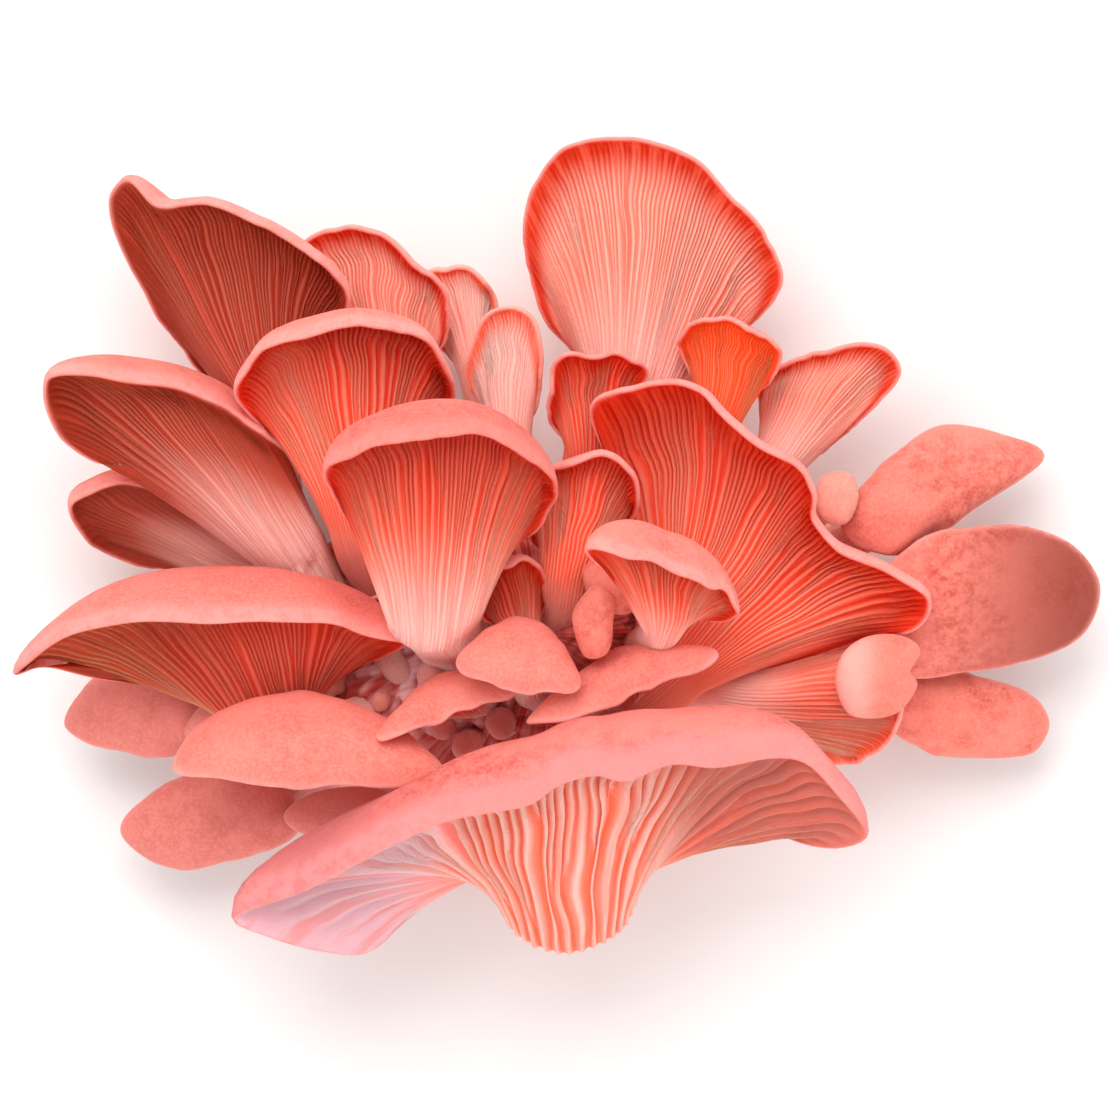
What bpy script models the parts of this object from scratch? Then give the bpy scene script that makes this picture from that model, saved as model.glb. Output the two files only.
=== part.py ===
"""Oyster mushroom cluster as picked, lying on its cut base. Metres, +Z up."""

import math

import bmesh
import bpy
import numpy as np
from mathutils.bvhtree import BVHTree

MM = 0.001

# Sizes of the whole, in millimetres
BASE_CENTRE = (-1.0, -15.0, 12.0)
BASE_HALF_WIDTH = 40.0
BASE_HALF_DEPTH = 31.0
BASE_HEIGHT = 24.0
BASE_COLUMNS = 36
BASE_RINGS = 9
BASE_TOP_ANGLE = 80.0
BASE_LOW_ANGLE = -8.0
BASE_LUMP = 1.2
CUT_SHARE = 0.9
KNOB_SPREAD = 0.30
FOOT_SINK = 3.0
BUD_COLUMNS = 6
BUD_TURNS = (0.35, 0.8)
BUD_FOOT_SHARE = 0.8
GAP = 0.35
SOCKET_GAP = 0.6
SHARP_ANGLE = 50.0

# Sizes of a fruit body, in millimetres or as shares
RIM_THICKNESS = 1.6
RIM_REACH = 1.6
EDGE_SHARE = 0.985
ROLL_SHARE = 0.6
CROWN_SHIFT = 0.35
HILUM_SINK = 1.1
HUB_PULL = 0.6
TOP_STEPS = (0.50, 0.87)
GILL_STEPS = (0.12, 0.36, 0.62, 0.86)
STEM_STEPS = (0.5, 1.0)
GILL_SHARE = 0.34
START_PULL = 1.1
END_PULL = 0.9
EVEN_SHARE = 0.35
THROAT_DROP = 1.5
THROAT_NEAR = 2.2
RIDGE_STEEP = 0.6
RIDGE_SPAN = 0.05
FOOT_DOME = 0.3
HEEL_NEAR = 0.6
HEEL_FADE = 1.0
SIDE_FADE = 0.3
FACING_FLOOR = 0.6

TONES = {
    "salmon": (0.91, 0.30, 0.25),
    "rose": (0.78, 0.27, 0.24),
    "orange": (0.93, 0.23, 0.12),
    "peach": (0.95, 0.42, 0.32),
    "pale": (0.90, 0.66, 0.68),
}


def unit(vectors):
    """Vectors scaled to length one."""
    vectors = np.asarray(vectors, float)
    length = np.linalg.norm(vectors, axis=-1, keepdims=True)
    return vectors / np.maximum(length, 1e-9)


def turn(vectors, start, end):
    """Vectors carried by the smallest turn that takes start to end."""
    axis = np.cross(start, end)
    sine = np.linalg.norm(axis)
    cosine = float(np.dot(start, end))
    if sine < 1e-6:
        return vectors
    axis = axis / sine
    along = np.outer(vectors @ axis, axis) * (1 - cosine)
    return vectors * cosine + np.cross(axis, vectors) * sine + along


def smooth_loop(points, count, hub):
    """Samples of a smooth closed curve, closer where it faces the hub than where it runs to it."""
    points = np.asarray(points, float)
    before = np.roll(points, 1, axis=0)
    after = np.roll(points, -1, axis=0)
    beyond = np.roll(points, -2, axis=0)
    fine = []
    for p0, p1, p2, p3 in zip(before, points, after, beyond):
        for t in np.linspace(0, 1, 12, endpoint=False):
            square = (2 * p0 - 5 * p1 + 4 * p2 - p3) * t * t
            cube = (3 * p1 - p0 - 3 * p2 + p3) * t ** 3
            fine.append(0.5 * (2 * p1 + (p2 - p0) * t + square + cube))
    fine.append(fine[0])
    fine = np.array(fine)
    steps = np.linalg.norm(np.diff(fine, axis=0), axis=1)
    sight = unit(fine - hub)
    turned = np.linalg.norm(np.diff(sight, axis=0), axis=1)
    weight = np.sqrt(steps * turned) + steps * FACING_FLOOR / steps.sum()
    length = np.concatenate([[0.0], np.cumsum(weight)])
    wanted = np.linspace(0, length[-1], count, endpoint=False)
    return np.column_stack([np.interp(wanted, length, fine[:, k]) for k in range(3)])


def path_point(path, t):
    """Point of the smooth curve that has the path's points as its controls."""
    points = np.array(path, float)
    while len(points) > 1:
        points = points[:-1] * (1 - t) + points[1:] * t
    return points[0]


def even_out(values, times):
    """Values round a ring, each drawn towards its neighbours."""
    for _ in range(times):
        values = (np.roll(values, 1, axis=0) + 2 * values + np.roll(values, -1, axis=0)) / 4
    return values


def rim_points(outline, top, height):
    """Rim in space: points with two coordinates lie in the plane square to top."""
    flat = np.array([point[:2] for point in outline], float)
    centre = flat.mean(axis=0)
    result = []
    for point in outline:
        if len(point) == 3:
            result.append(point)
        else:
            slope = (top[0] * (point[0] - centre[0]) + top[1] * (point[1] - centre[1])) / top[2]
            result.append((point[0], point[1], height - slope))
    return np.array(result)


def fruit_body(outline, top, height, bulge, stem, radii, gills, depth, square=2.4, roll=0.8,
               wave=0.5, seed=0):
    """Rings of one fruit body, from the middle of the top, round the rim, to the foot."""
    top = unit(top)
    corners = rim_points(outline, top, height)
    columns = 2 * gills
    middle = smooth_loop(corners, columns, corners.mean(axis=0)).mean(axis=0)
    hilum = np.array(stem[0], float)
    if len(stem[0]) == 2:
        slope = (top[:2] @ (hilum - middle[:2])) / top[2]
        hilum = np.array([hilum[0], hilum[1], middle[2] - slope]) - top * radii[0] * HILUM_SINK
    rim = smooth_loop(corners, columns, middle * (1 - HUB_PULL) + hilum * HUB_PULL)
    facing = np.cross(rim, np.roll(rim, -1, axis=0)).sum(axis=0)
    if np.dot(facing, top) < 0:
        rim = rim[::-1]
    turns = np.arange(columns) / columns * 2 * math.pi
    ripple = np.sin(5 * turns + seed) + 0.7 * np.sin(9 * turns + 2.3 * seed)
    rim = rim + np.outer(ripple * wave, top)
    rim[1::2] = (rim[::2] + np.roll(rim[::2], -1, axis=0)) / 2
    over = hilum + top * np.dot(middle - hilum, top)
    crown = middle * (1 - CROWN_SHIFT) + over * CROWN_SHIFT

    def top_ring(share, picked):
        rise = bulge * (1 - share ** square) ** (1 - ROLL_SHARE * roll)
        return crown + (picked - crown) * share + top * rise

    outward = unit(rim - crown)
    down = unit(rim - top_ring(EDGE_SHARE, rim))
    along = unit(np.roll(rim, -1, axis=0) - np.roll(rim, 1, axis=0))
    skin = unit(np.cross(along, down))
    if np.sum(skin * (outward + top)) < 0:
        skin = -skin
    half = RIM_THICKNESS / 2
    upper = []
    for share in TOP_STEPS:
        lean = unit(top * (1 - share ** 4) + skin * share ** 4)
        upper.append(top_ring(share, rim) + lean * half)

    path = [hilum] + [np.array(point, float) for point in stem[1:]]
    lead = unit(path_point(path, 0.05) - path_point(path, 0.0))
    first = unit(np.cross(top, (0.0, 0.0, 1.0) if abs(top[2]) < 0.9 else (0.0, 1.0, 0.0)))
    second = np.cross(top, first)
    angle = np.unwrap(np.arctan2((rim - crown) @ second, (rim - crown) @ first))
    even = angle.mean() - turns.mean() + turns
    angle = angle * (1 - EVEN_SHARE) + even * EVEN_SHARE
    spokes = np.outer(np.cos(angle), first) + np.outer(np.sin(angle), second)
    spokes = turn(spokes, -top, lead)
    throat = hilum + spokes * radii[0]
    beyond = (throat - rim) @ lead
    aside = np.linalg.norm(rim - hilum - np.outer((rim - hilum) @ lead, lead), axis=1)
    near = beyond[aside < THROAT_NEAR * radii[0]]
    if len(near):
        shift = lead * max(0.0, THROAT_DROP - near.min())
        hilum = hilum + shift
        path[0] = hilum
        throat = throat + shift
    clear = np.linalg.norm(throat - rim, axis=1) / radii[0]
    facing = 1 - np.abs(np.sum(along * unit(throat - rim), axis=1))
    gilled = np.clip((clear - HEEL_NEAR) / HEEL_FADE, 0, 1) * np.clip(facing / SIDE_FADE, 0, 1)
    gilled = even_out(gilled, 2)[:, None]
    inward = np.clip(0.5 + np.sum(unit(throat - rim) * -outward, axis=1), 0, 1)
    inward = even_out(inward, 2)[:, None]
    start = rim - skin * half * inward + down * half * RIM_REACH * (1 - inward)
    span = np.linalg.norm(throat - start, axis=1, keepdims=True)
    straight = unit(throat - start)
    climb = (-down @ top)[:, None] * np.minimum(span, bulge * 2.0) * START_PULL
    slide = (-down + np.outer(down @ top, top)) * span * START_PULL
    leave = (np.outer(climb[:, 0], top) + slide) * inward + straight * span * (1 - inward)
    arrive = lead * span * END_PULL
    leave = even_out(leave - (throat - start), 3) + (throat - start)
    arrive = even_out(arrive - (throat - start), 3) + (throat - start)

    def under(t):
        return ((2 * t ** 3 - 3 * t ** 2 + 1) * start + (t ** 3 - 2 * t ** 2 + t) * leave
                + (3 * t ** 2 - 2 * t ** 3) * throat + (t ** 3 - t ** 2) * arrive)

    lower = [rim + skin * half, rim + down * half, start]
    side = 1.0
    for step, t in enumerate(GILL_STEPS):
        ring = under(t)
        run = np.roll(ring, -1, axis=0) - np.roll(ring, 1, axis=0)
        normal = unit(np.cross(run, under(t + 0.02) - under(t - 0.02)))
        if step == 0 and np.sum(normal * -skin) < 0:
            side = -1.0
        spacing = np.linalg.norm(run, axis=1) / 2
        rise = np.minimum(np.minimum(depth, spacing * RIDGE_STEEP), span[:, 0] * RIDGE_SPAN)
        rise = rise * math.sin(math.pi * min(0.5, t * 2)) * side
        ridge = np.where(np.arange(columns) % 2 == 0, 1.0, -GILL_SHARE)
        lower.append(ring + normal * (ridge * rise)[:, None])
    for place, ring in enumerate(lower):
        part_way = (place + 1) / (len(lower) + 1)
        heel = upper[-1] * (1 - part_way) + throat * part_way
        lower[place] = heel * (1 - gilled) + ring * gilled
    rings = [ring[::2] for ring in upper + lower[:2]] + lower[2:] + [throat[::2]]

    before = lead
    spokes = spokes[::2]
    for share in STEM_STEPS:
        ahead = unit(path_point(path, share) - path_point(path, share - 0.08))
        spokes = turn(spokes, before, ahead)
        before = ahead
        radius = radii[0] + (radii[1] - radii[0]) * share
        rings.append(path_point(path, share) + spokes * radius)
    pole = crown + top * (bulge + half)
    end = path[-1] + before * radii[1] * FOOT_DOME
    return rings, pole, end


def ladder(first, second):
    """Triangles between two rings that start at the same place and may differ in count."""
    faces = []
    i = j = 0
    while i < len(first) or j < len(second):
        next_i = (i + 1) / len(first)
        next_j = (j + 1) / len(second)
        if j >= len(second) or (i < len(first) and next_i <= next_j):
            faces.append((first[i % len(first)], second[j % len(second)],
                          first[(i + 1) % len(first)]))
            i += 1
        else:
            faces.append((first[i % len(first)], second[j % len(second)],
                          second[(j + 1) % len(second)]))
            j += 1
    return faces


def mesh_from_rings(name, rings, pole, end):
    """Closed mesh through the rings, with a point at each end."""
    points = [pole]
    index = []
    for ring in rings:
        index.append(list(range(len(points), len(points) + len(ring))))
        points.extend(ring)
    points.append(end)
    faces = []
    top_ring = index[0]
    for k, vertex in enumerate(top_ring):
        faces.append((0, vertex, top_ring[(k + 1) % len(top_ring)]))
    for upper, lower in zip(index, index[1:]):
        faces.extend(ladder(upper, lower))
    foot = index[-1]
    for k, vertex in enumerate(foot):
        faces.append((vertex, len(points) - 1, foot[(k + 1) % len(foot)]))
    mesh = bpy.data.meshes.new(name)
    mesh.from_pydata([tuple(float(v) * MM for v in point) for point in points], [], faces)
    work = bmesh.new()
    work.from_mesh(mesh)
    if work.calc_volume(signed=True) < 0:
        bmesh.ops.reverse_faces(work, faces=work.faces)
    work.to_mesh(mesh)
    work.free()
    return mesh


def knob_targets(feet):
    """Direction and distance from the base's centre to each foot."""
    offsets = np.array(feet, float) - np.array(BASE_CENTRE)
    distance = np.linalg.norm(offsets, axis=1)
    return offsets / distance[:, None], distance


def base_radius(direction, ways, reach):
    """Distance from the centre to the base's surface, with a knob under each foot."""
    half = np.array([BASE_HALF_WIDTH, BASE_HALF_DEPTH, BASE_HEIGHT])
    plain = 1 / np.linalg.norm(direction / half)
    own = 1 / np.linalg.norm(ways / half, axis=1)
    spread = np.arccos(np.clip(ways @ direction, -1, 1)) / KNOB_SPREAD
    knobs = (reach + FOOT_SINK - own) * np.exp(-spread ** 2)
    waves = math.sin(7 * direction[0] + 5 * direction[1]) * math.cos(6 * direction[2] + 1)
    return plain + max(0.0, float(knobs.max())) + waves * BASE_LUMP


def base_rings(feet, extra=0.0):
    """Rings of the butt from its crown down to the flat cut face."""
    ways, reach = knob_targets(feet)
    centre = np.array(BASE_CENTRE)
    rings = []
    for lift in np.linspace(math.radians(BASE_TOP_ANGLE), math.radians(BASE_LOW_ANGLE), BASE_RINGS):
        ring = []
        for k in range(BASE_COLUMNS):
            turned = 2 * math.pi * k / BASE_COLUMNS
            way = np.array([math.cos(lift) * math.cos(turned), math.cos(lift) * math.sin(turned),
                            math.sin(lift)])
            ring.append(centre + way * (base_radius(way, ways, reach) + extra))
        rings.append(np.array(ring))
    last = (rings[-1] - centre) * CUT_SHARE + centre
    last[:, 2] = -extra
    rings.append(last)
    up = np.array([0.0, 0.0, 1.0])
    pole = centre + up * (base_radius(up, ways, reach) + extra)
    return rings, pole, np.array([centre[0], centre[1], -extra])


def bud_rings(tip, foot, radius, extra=0.0):
    """Rings of one bud, from its round tip down into the butt."""
    tip = np.array(tip, float)
    foot = np.array(foot, float)
    way = unit(tip - foot)
    first = unit(np.cross(way, (0.3, 1.0, 0.2)))
    second = np.cross(way, first)
    turns = np.arange(BUD_COLUMNS) / BUD_COLUMNS * 2 * math.pi
    spokes = np.outer(np.cos(turns), first) + np.outer(np.sin(turns), second)
    middle = tip - way * radius
    rings = []
    for share in BUD_TURNS:
        angle = share * math.pi / 2
        rings.append(middle + way * (radius + extra) * math.cos(angle)
                     + spokes * (radius + extra) * math.sin(angle))
    rings.append(foot + spokes * (radius * BUD_FOOT_SHARE + extra))
    return rings, tip + way * extra, foot - way * radius


def put(name, mesh, tone):
    """Object in the scene with its material."""
    material = bpy.data.materials.get(tone)
    if material is None:
        material = bpy.data.materials.new(tone)
        material.use_nodes = True
        shader = material.node_tree.nodes["Principled BSDF"]
        shader.inputs["Base Color"].default_value = (*TONES[tone], 1.0)
        shader.inputs["Roughness"].default_value = 0.6
        shader.inputs["Metallic"].default_value = 0.0
    mesh.materials.clear()
    mesh.materials.append(material)
    thing = bpy.data.objects.new(name, mesh)
    bpy.context.scene.collection.objects.link(thing)
    return thing


def swollen(thing, margin):
    """Copy of a piece grown by the margin along its normals."""
    mesh = thing.data.copy()
    grown = [vertex.co + vertex.normal * margin for vertex in mesh.vertices]
    for vertex, place in zip(mesh.vertices, grown):
        vertex.co = place
    copy = bpy.data.objects.new("cutter", mesh)
    bpy.context.scene.collection.objects.link(copy)
    return copy


def touching(first, second):
    """Whether the surfaces of two pieces meet."""
    trees = []
    for thing in (first, second):
        points = [vertex.co for vertex in thing.data.vertices]
        faces = [tuple(face.vertices) for face in thing.data.polygons]
        trees.append(BVHTree.FromPolygons(points, faces))
    return bool(trees[0].overlap(trees[1]))


def biggest_body(mesh):
    """Drop the scraps that a cut leaves loose."""
    work = bmesh.new()
    work.from_mesh(mesh)
    bmesh.ops.triangulate(work, faces=work.faces)
    left = set(work.verts)
    bodies = []
    while left:
        front = [left.pop()]
        body = set(front)
        while front:
            for edge in front.pop().link_edges:
                for vertex in edge.verts:
                    if vertex in left:
                        left.remove(vertex)
                        body.add(vertex)
                        front.append(vertex)
        bodies.append(body)
    bodies.sort(key=len)
    for body in bodies[:-1]:
        bmesh.ops.delete(work, geom=list(body), context="VERTS")
    work.to_mesh(mesh)
    work.free()


def combine(thing, other, operation):
    """Cut the other piece out of this one, or fuse it in."""
    step = thing.modifiers.new("combine", "BOOLEAN")
    step.operation = operation
    step.solver = "MANIFOLD"
    step.object = other
    view = bpy.context.evaluated_depsgraph_get()
    mesh = bpy.data.meshes.new_from_object(thing.evaluated_get(view))
    thing.modifiers.clear()
    thing.data = mesh
    biggest_body(mesh)


# Buds on the butt: tip, foot and radius in millimetres
BUDS = [
    ((-46, -26, 35), (-40, -25, 26), 2.0),
    ((-34, -29, 39), (-33, -25, 27), 2.0),
    ((-10.5, -33, 43), (-8, -32, 30), 2.6),
    ((-17, -38, 38), (-15, -34, 26), 2.6),
    ((-22, -34.5, 36), (-20, -31, 26), 2.2),
    ((-24, -24, 43), (-22, -20, 30), 3.0),
    ((-16, -18.5, 45), (-14, -18, 32), 2.6),
]

# Fruit bodies: front ones come first, and what stands behind gives way to them
FRUIT = [
    dict(name="hood_centre", tone="salmon",
         top=(-0.05, 0.85, -0.5), height=79, bulge=16.5,
         outline=[(-44.5, 17), (-37.5, 21), (-27.5, 24), (-17.5, 24.5), (-7.5, 22.5), (-0.5, 18),
                  (1, 12), (-3.5, 6), (-13.5, 3), (-23.5, 2), (-33.5, 5), (-40.5, 10)],
         stem=[(-23.5, 2), (-24, -10, 54), (-18, -18, 28)], radii=(10, 7),
         gills=20, depth=1.6, square=3, roll=1, seed=1),
    dict(name="hood_bottom", tone="salmon",
         top=(0, 0.95, -0.3), height=65, bulge=18,
         outline=[(-63, -71, 53), (-50, -66, 61), (-41, -61.5, 66), (-32, -56.5, 70),
                  (-22, -52, 74), (-12, -50, 76), (-4, -48, 76), (2, -44, 74), (9, -42, 75),
                  (15, -43, 77), (24, -40, 75), (33, -41, 75), (44, -39, 70), (51, -40, 65),
                  (57, -46, 62), (63, -54, 56), (58, -57, 49), (50, -56, 46), (41, -52, 43),
                  (30, -48, 41), (16, -48, 41), (0, -51, 43), (-14, -56, 44), (-26, -68, 45),
                  (-36, -78, 47), (-46, -78, 49), (-56, -75, 51)],
         stem=[(3, -62, 53), (4, -68, 37), (2, -52, 22), (4, -44, 14)], radii=(14, 9),
         gills=27, depth=2.2, square=3, roll=1, wave=0.2, seed=2),
    dict(name="hood_right", tone="salmon", joins="fan_right",
         top=(0.05, 0.9, -0.43), height=74, bulge=10.5,
         outline=[(7, 2), (12, 2.6), (17, 0.6), (23, -2), (30, -4), (36, -8), (37, -11), (31, -12),
                  (24, -11), (17, -7), (11, -2)],
         stem=[(24, -9.5), (21, -15, 55), (18, -17, 45)], radii=(3.6, 3.4),
         gills=11, depth=0.9, square=3, roll=1, seed=3),
    dict(name="bonnet_centre", tone="salmon",
         top=(0.05, 0.55, 0.83), height=66, bulge=6,
         outline=[(-18.5, -21), (-14, -15.5), (-7, -12), (1, -13), (5, -17), (7, -24), (1, -26.5),
                  (-7, -26), (-15, -24.5)],
         stem=[(-4, -20), (-3, -26, 38)], radii=(4, 4.5),
         gills=9, depth=0.7, roll=0.5, seed=4),
    dict(name="bonnet_lower_left", tone="salmon",
         top=(-0.05, 0.6, 0.8), height=54, bulge=7,
         outline=[(-74.5, -41.5), (-71.5, -35.5), (-65.5, -30.5), (-55.5, -27.5), (-45.5, -27.5),
                  (-35.5, -30.5), (-28.5, -35.5), (-22, -41.5), (-26.5, -44), (-37.5, -44.5),
                  (-51.5, -44.5), (-65.5, -43.5)],
         stem=[(-48.5, -33.5), (-37, -33, 31)], radii=(5.5, 6),
         gills=12, depth=0.8, roll=0.4, seed=5),
    dict(name="bonnet_centre_right", tone="salmon", joins="fan_right",
         top=(-0.25, 0.85, 0.45), height=58, bulge=5,
         outline=[(-4, -32.2), (2, -27.5), (8, -23.5), (13, -20), (20, -18.5), (27, -18.5),
                  (33, -19.4), (28, -22), (22, -24.5), (16, -27), (10, -29.5), (3, -31.5)],
         stem=[(15, -22), (12, -27, 42)], radii=(3.6, 3.8),
         gills=11, depth=0.7, roll=0.4, seed=6),
    dict(name="bonnet_centre_left", tone="salmon",
         top=(-0.2, 0.85, 0.45), height=56, bulge=3.5,
         outline=[(-34.4, -35), (-29, -29), (-24, -24.6), (-19, -23.4), (-12.5, -24), (-7, -26.4),
                  (-14, -29), (-22, -31.4), (-30, -35)],
         stem=[(-17, -26), (-14, -27, 35)], radii=(3.2, 4.5),
         gills=9, depth=0.5, roll=0.4, seed=7),
    dict(name="cap_oval_small", tone="rose",
         top=(0.2, 0.1, 0.97), height=63, bulge=3.5,
         outline=[(5, -12), (6.4, -8), (9.4, -5.4), (12.4, -8), (12, -12.5), (11, -18), (7, -18.6)],
         stem=[(9, -12), (9, -15, 44)], radii=(2.6, 3.4),
         gills=7, depth=0.5, roll=0.8, wave=0.1, seed=8),
    dict(name="hood_centre_right", tone="orange",
         top=(0.15, 0.75, -0.65), height=54.5, bulge=6,
         outline=[(1, 18), (8, 20.6), (13, 19.8), (17, 16), (17.6, 11), (14, 6), (7, 2), (0, 2),
                  (-4, 6), (-3, 13)],
         stem=[(5, 6), (3, -6, 50), (2, -16, 30)], radii=(5.5, 4.5),
         gills=12, depth=0.9, square=2.8, roll=1, seed=9),
    dict(name="hood_centre_small", tone="peach",
         top=(-0.3, 0.7, -0.65), height=52, bulge=4,
         outline=[(-14, -8.5), (-12, -3.5), (-7.5, 0), (-2.5, -1.5), (-1, -6.5), (-3.5, -11.5),
                  (-8.5, -13), (-13, -11.5)],
         stem=[(-6.5, -7.5), (-5, -16, 46), (-7, -18, 32)], radii=(3, 4),
         gills=8, depth=0.6, seed=10),
    dict(name="cap_small_right", tone="rose",
         top=(0.2, 0.3, 0.93), height=57, bulge=3.5,
         outline=[(7, -2), (11.6, 0.4), (17, -3), (18.4, -8), (14, -10.4), (9, -8)],
         stem=[(12, -5), (12, -10, 32)], radii=(2.6, 3.2),
         gills=7, depth=0.5, wave=0.1, seed=11),
    dict(name="fan_right", tone="orange",
         top=(0.25, 0.5, -0.83), height=48, bulge=9,
         outline=[(8.5, 29.5), (13, 33.5), (21, 34.5), (29, 33), (34, 29), (41, 24), (48, 19),
                  (52, 13), (52.5, 7.5), (58, 1.5), (67, -2), (75, -7), (73, -13.5), (63, -16.5),
                  (51, -20), (40, -21.5), (29, -20.5), (21, -12.5), (18, 2.5), (14, 15.5)],
         stem=[(26, -15.5), (9, -35, 42), (8, -26, 20)], radii=(9, 7),
         gills=23, depth=1.3, square=2.8, roll=0.9, wave=0.7, seed=12),
    dict(name="hood_left", tone="salmon",
         top=(-0.05, 0.78, -0.62), height=50, bulge=12,
         outline=[(-62.4, 35), (-56, 42), (-46, 45.6), (-36, 46.6), (-27, 44.4), (-21, 39.6),
                  (-19, 33), (-22, 26), (-30, 20), (-40, 17), (-51, 22), (-60, 30)],
         stem=[(-38, 18), (-36, 2, 34), (-32, -5, 20)], radii=(8.5, 6.5),
         gills=19, depth=1.3, square=3, roll=1, seed=13),
    dict(name="fan_left", tone="salmon",
         top=(-0.1, 0.62, -0.78), height=45.5, bulge=14.5,
         outline=[(-100, 34), (-97.5, 36.5), (-91, 37.2), (-84, 36.4), (-76, 34.8), (-68, 32),
                  (-60, 28), (-53, 22), (-50, 14), (-54, 7), (-61, 6), (-68, 10.5), (-76, 16),
                  (-84, 19), (-92, 20.2), (-99, 26)],
         stem=[(-57, 13), (-51, 1, 29), (-43, -15, 23)], radii=(7, 6),
         gills=18, depth=1.2, square=2.8, roll=1, wave=0.5, seed=14),
    dict(name="bonnet_left", tone="salmon",
         top=(0, 0.93, -0.37), height=48, bulge=16.5,
         outline=[(-107, -22.5), (-98, -15.5), (-88, -13), (-74, -12), (-60, -12), (-46, -12.5),
                  (-36, -14.5), (-29, -16), (-34, -19.5), (-48, -23.5), (-64, -24.5), (-80, -24),
                  (-92, -23), (-101, -21.5)],
         stem=[(-57, -23), (-54, -30, 25), (-39, -24, 20)], radii=(7.5, 6),
         gills=18, depth=1.2, square=2.6, roll=0.9, wave=0.3, seed=15),
    dict(name="fan_small_left", tone="peach",
         top=(0.1, 0.55, -0.83), height=34, bulge=3,
         outline=[(-39, -10.5), (-34, -7.5), (-29, -9), (-27.5, -13), (-30, -17.5), (-36, -19.5),
                  (-40, -15.5)],
         stem=[(-33, -17), (-27, -27, 34), (-31, -24, 24)], radii=(2.6, 3.4),
         gills=8, depth=0.6, wave=0.2, seed=16),
    dict(name="cap_small_lower_right", tone="peach", joins="funnel_right",
         top=(0.2, -0.2, 0.96), height=44, bulge=3.5,
         outline=[(58, -26), (60, -22), (65, -21), (69, -23), (68.8, -28), (66, -31), (60, -30.4)],
         stem=[(63, -26), (59, -25, 30)], radii=(2.8, 3.2),
         gills=7, depth=0.5, wave=0.1, seed=17),
    dict(name="funnel_right", tone="orange",
         top=(0.55, 0.25, -0.8), height=33, bulge=5,
         outline=[(46, -20.5), (56, -15.5), (64, -15.5), (69, -21.5), (70, -28.5), (68, -35.5),
                  (62, -40.5), (54, -39.5), (47, -34.5), (44, -27.5)],
         stem=[(52, -27.5), (38, -27, 28), (28, -27, 20)], radii=(6.5, 6.5),
         gills=16, depth=1, seed=18),
    dict(name="cap_curled", tone="orange",
         top=(-0.3, 0.5, -0.8), height=44, bulge=3,
         outline=[(0.4, 36), (3, 41), (8, 40.6), (14, 40.6), (19, 37.4), (15, 32), (9, 27), (4, 25),
                  (0.4, 29)],
         stem=[(7, 30), (4, 10, 26)], radii=(4, 4),
         gills=10, depth=0.8, seed=19),
    dict(name="fan_top_right", tone="orange",
         top=(0.1, 0.5, -0.86), height=39, bulge=4,
         outline=[(26, 42), (28, 46.4), (34, 48), (41, 46.6), (45.6, 42), (44, 36), (38, 32),
                  (31, 34)],
         stem=[(36, 35), (28, 14, 22)], radii=(4.5, 4.5),
         gills=12, depth=0.8, seed=20),
    dict(name="cap_oval_upright", tone="peach",
         top=(0.25, 0.3, -0.92), height=36, bulge=4,
         outline=[(-14, 47), (-10.4, 50.4), (-6.6, 50.6), (-3.2, 47.6), (-1.8, 41), (-2.2, 34),
                  (-4, 29), (-9, 28), (-14, 32), (-17, 38)],
         stem=[(-7.5, 31), (-5, 10, 26)], radii=(4, 4),
         gills=12, depth=0.7, wave=0.2, seed=21),
    dict(name="fan_top", tone="salmon",
         top=(0.1, 0.35, -0.93), height=30, bulge=7,
         outline=[(12, 84), (19, 83.8), (27, 81), (34, 75), (41, 68), (45.6, 61), (46.4, 55),
                  (41, 48), (33, 42), (24, 38), (15, 37), (7, 39.6), (1, 46), (-3, 55), (-4.8, 65),
                  (-3.4, 74), (3, 81)],
         stem=[(19, 41), (15, 24, 20), (12, 10, 16)], radii=(8, 6.5),
         gills=22, depth=1.2, seed=22),
    dict(name="cap_right_upper", tone="rose",
         top=(0.3, 0.25, 0.92), height=23, bulge=6,
         outline=[(59, 7), (63, 15), (70, 22), (78, 26), (85, 26.6), (92, 24.6), (99.6, 21.4),
                  (95, 16.6), (86, 11), (76, 5), (68, 1)],
         stem=[(70, 10), (48, 0, 14)], radii=(5, 5),
         gills=12, depth=0.7, roll=0.4, seed=23),
    dict(name="cap_right", tone="rose",
         top=(0.3, -0.1, 0.95), height=27.5, bulge=7,
         outline=[(68, -2), (76, 5), (86, 6), (96, 5.8), (104, 3), (109, -3), (109.4, -9),
                  (106, -15), (99, -18.6), (90, -21), (78, -23), (68, -21.6), (65, -12)],
         stem=[(76, -10), (46, -8, 21)], radii=(5.5, 5.5),
         gills=12, depth=0.8, roll=0.4, seed=24),
    dict(name="cap_right_lower", tone="rose",
         top=(0.25, -0.3, 0.92), height=18, bulge=6,
         outline=[(66, -28), (70, -23.6), (80, -22.6), (90, -25), (98, -29), (100.4, -34),
                  (97, -38.4), (89, -40), (80, -39), (71, -35.6)],
         stem=[(72, -31), (46, -24, 13)], radii=(4.5, 5),
         gills=12, depth=0.7, roll=0.4, seed=25),
    dict(name="bud_right", tone="pale",
         top=(0.3, 0.3, 0.9), height=36, bulge=2,
         outline=[(54.4, 16), (60, 17), (61.4, 12), (59, 7.6), (54.6, 9)],
         stem=[(57, 12), (42, 0, 22)], radii=(2.4, 4),
         gills=7, depth=0.4, wave=0.1, seed=26),
    dict(name="fan_upper_right", tone="orange",
         top=(0.15, 0.4, -0.9), height=28, bulge=4,
         outline=[(43, 36), (50, 40), (60, 42.8), (67, 42), (69.6, 37), (66, 32), (61, 27),
                  (55, 22), (49, 22), (44, 28)],
         stem=[(50, 27), (38, 8, 16)], radii=(5, 5),
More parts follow.
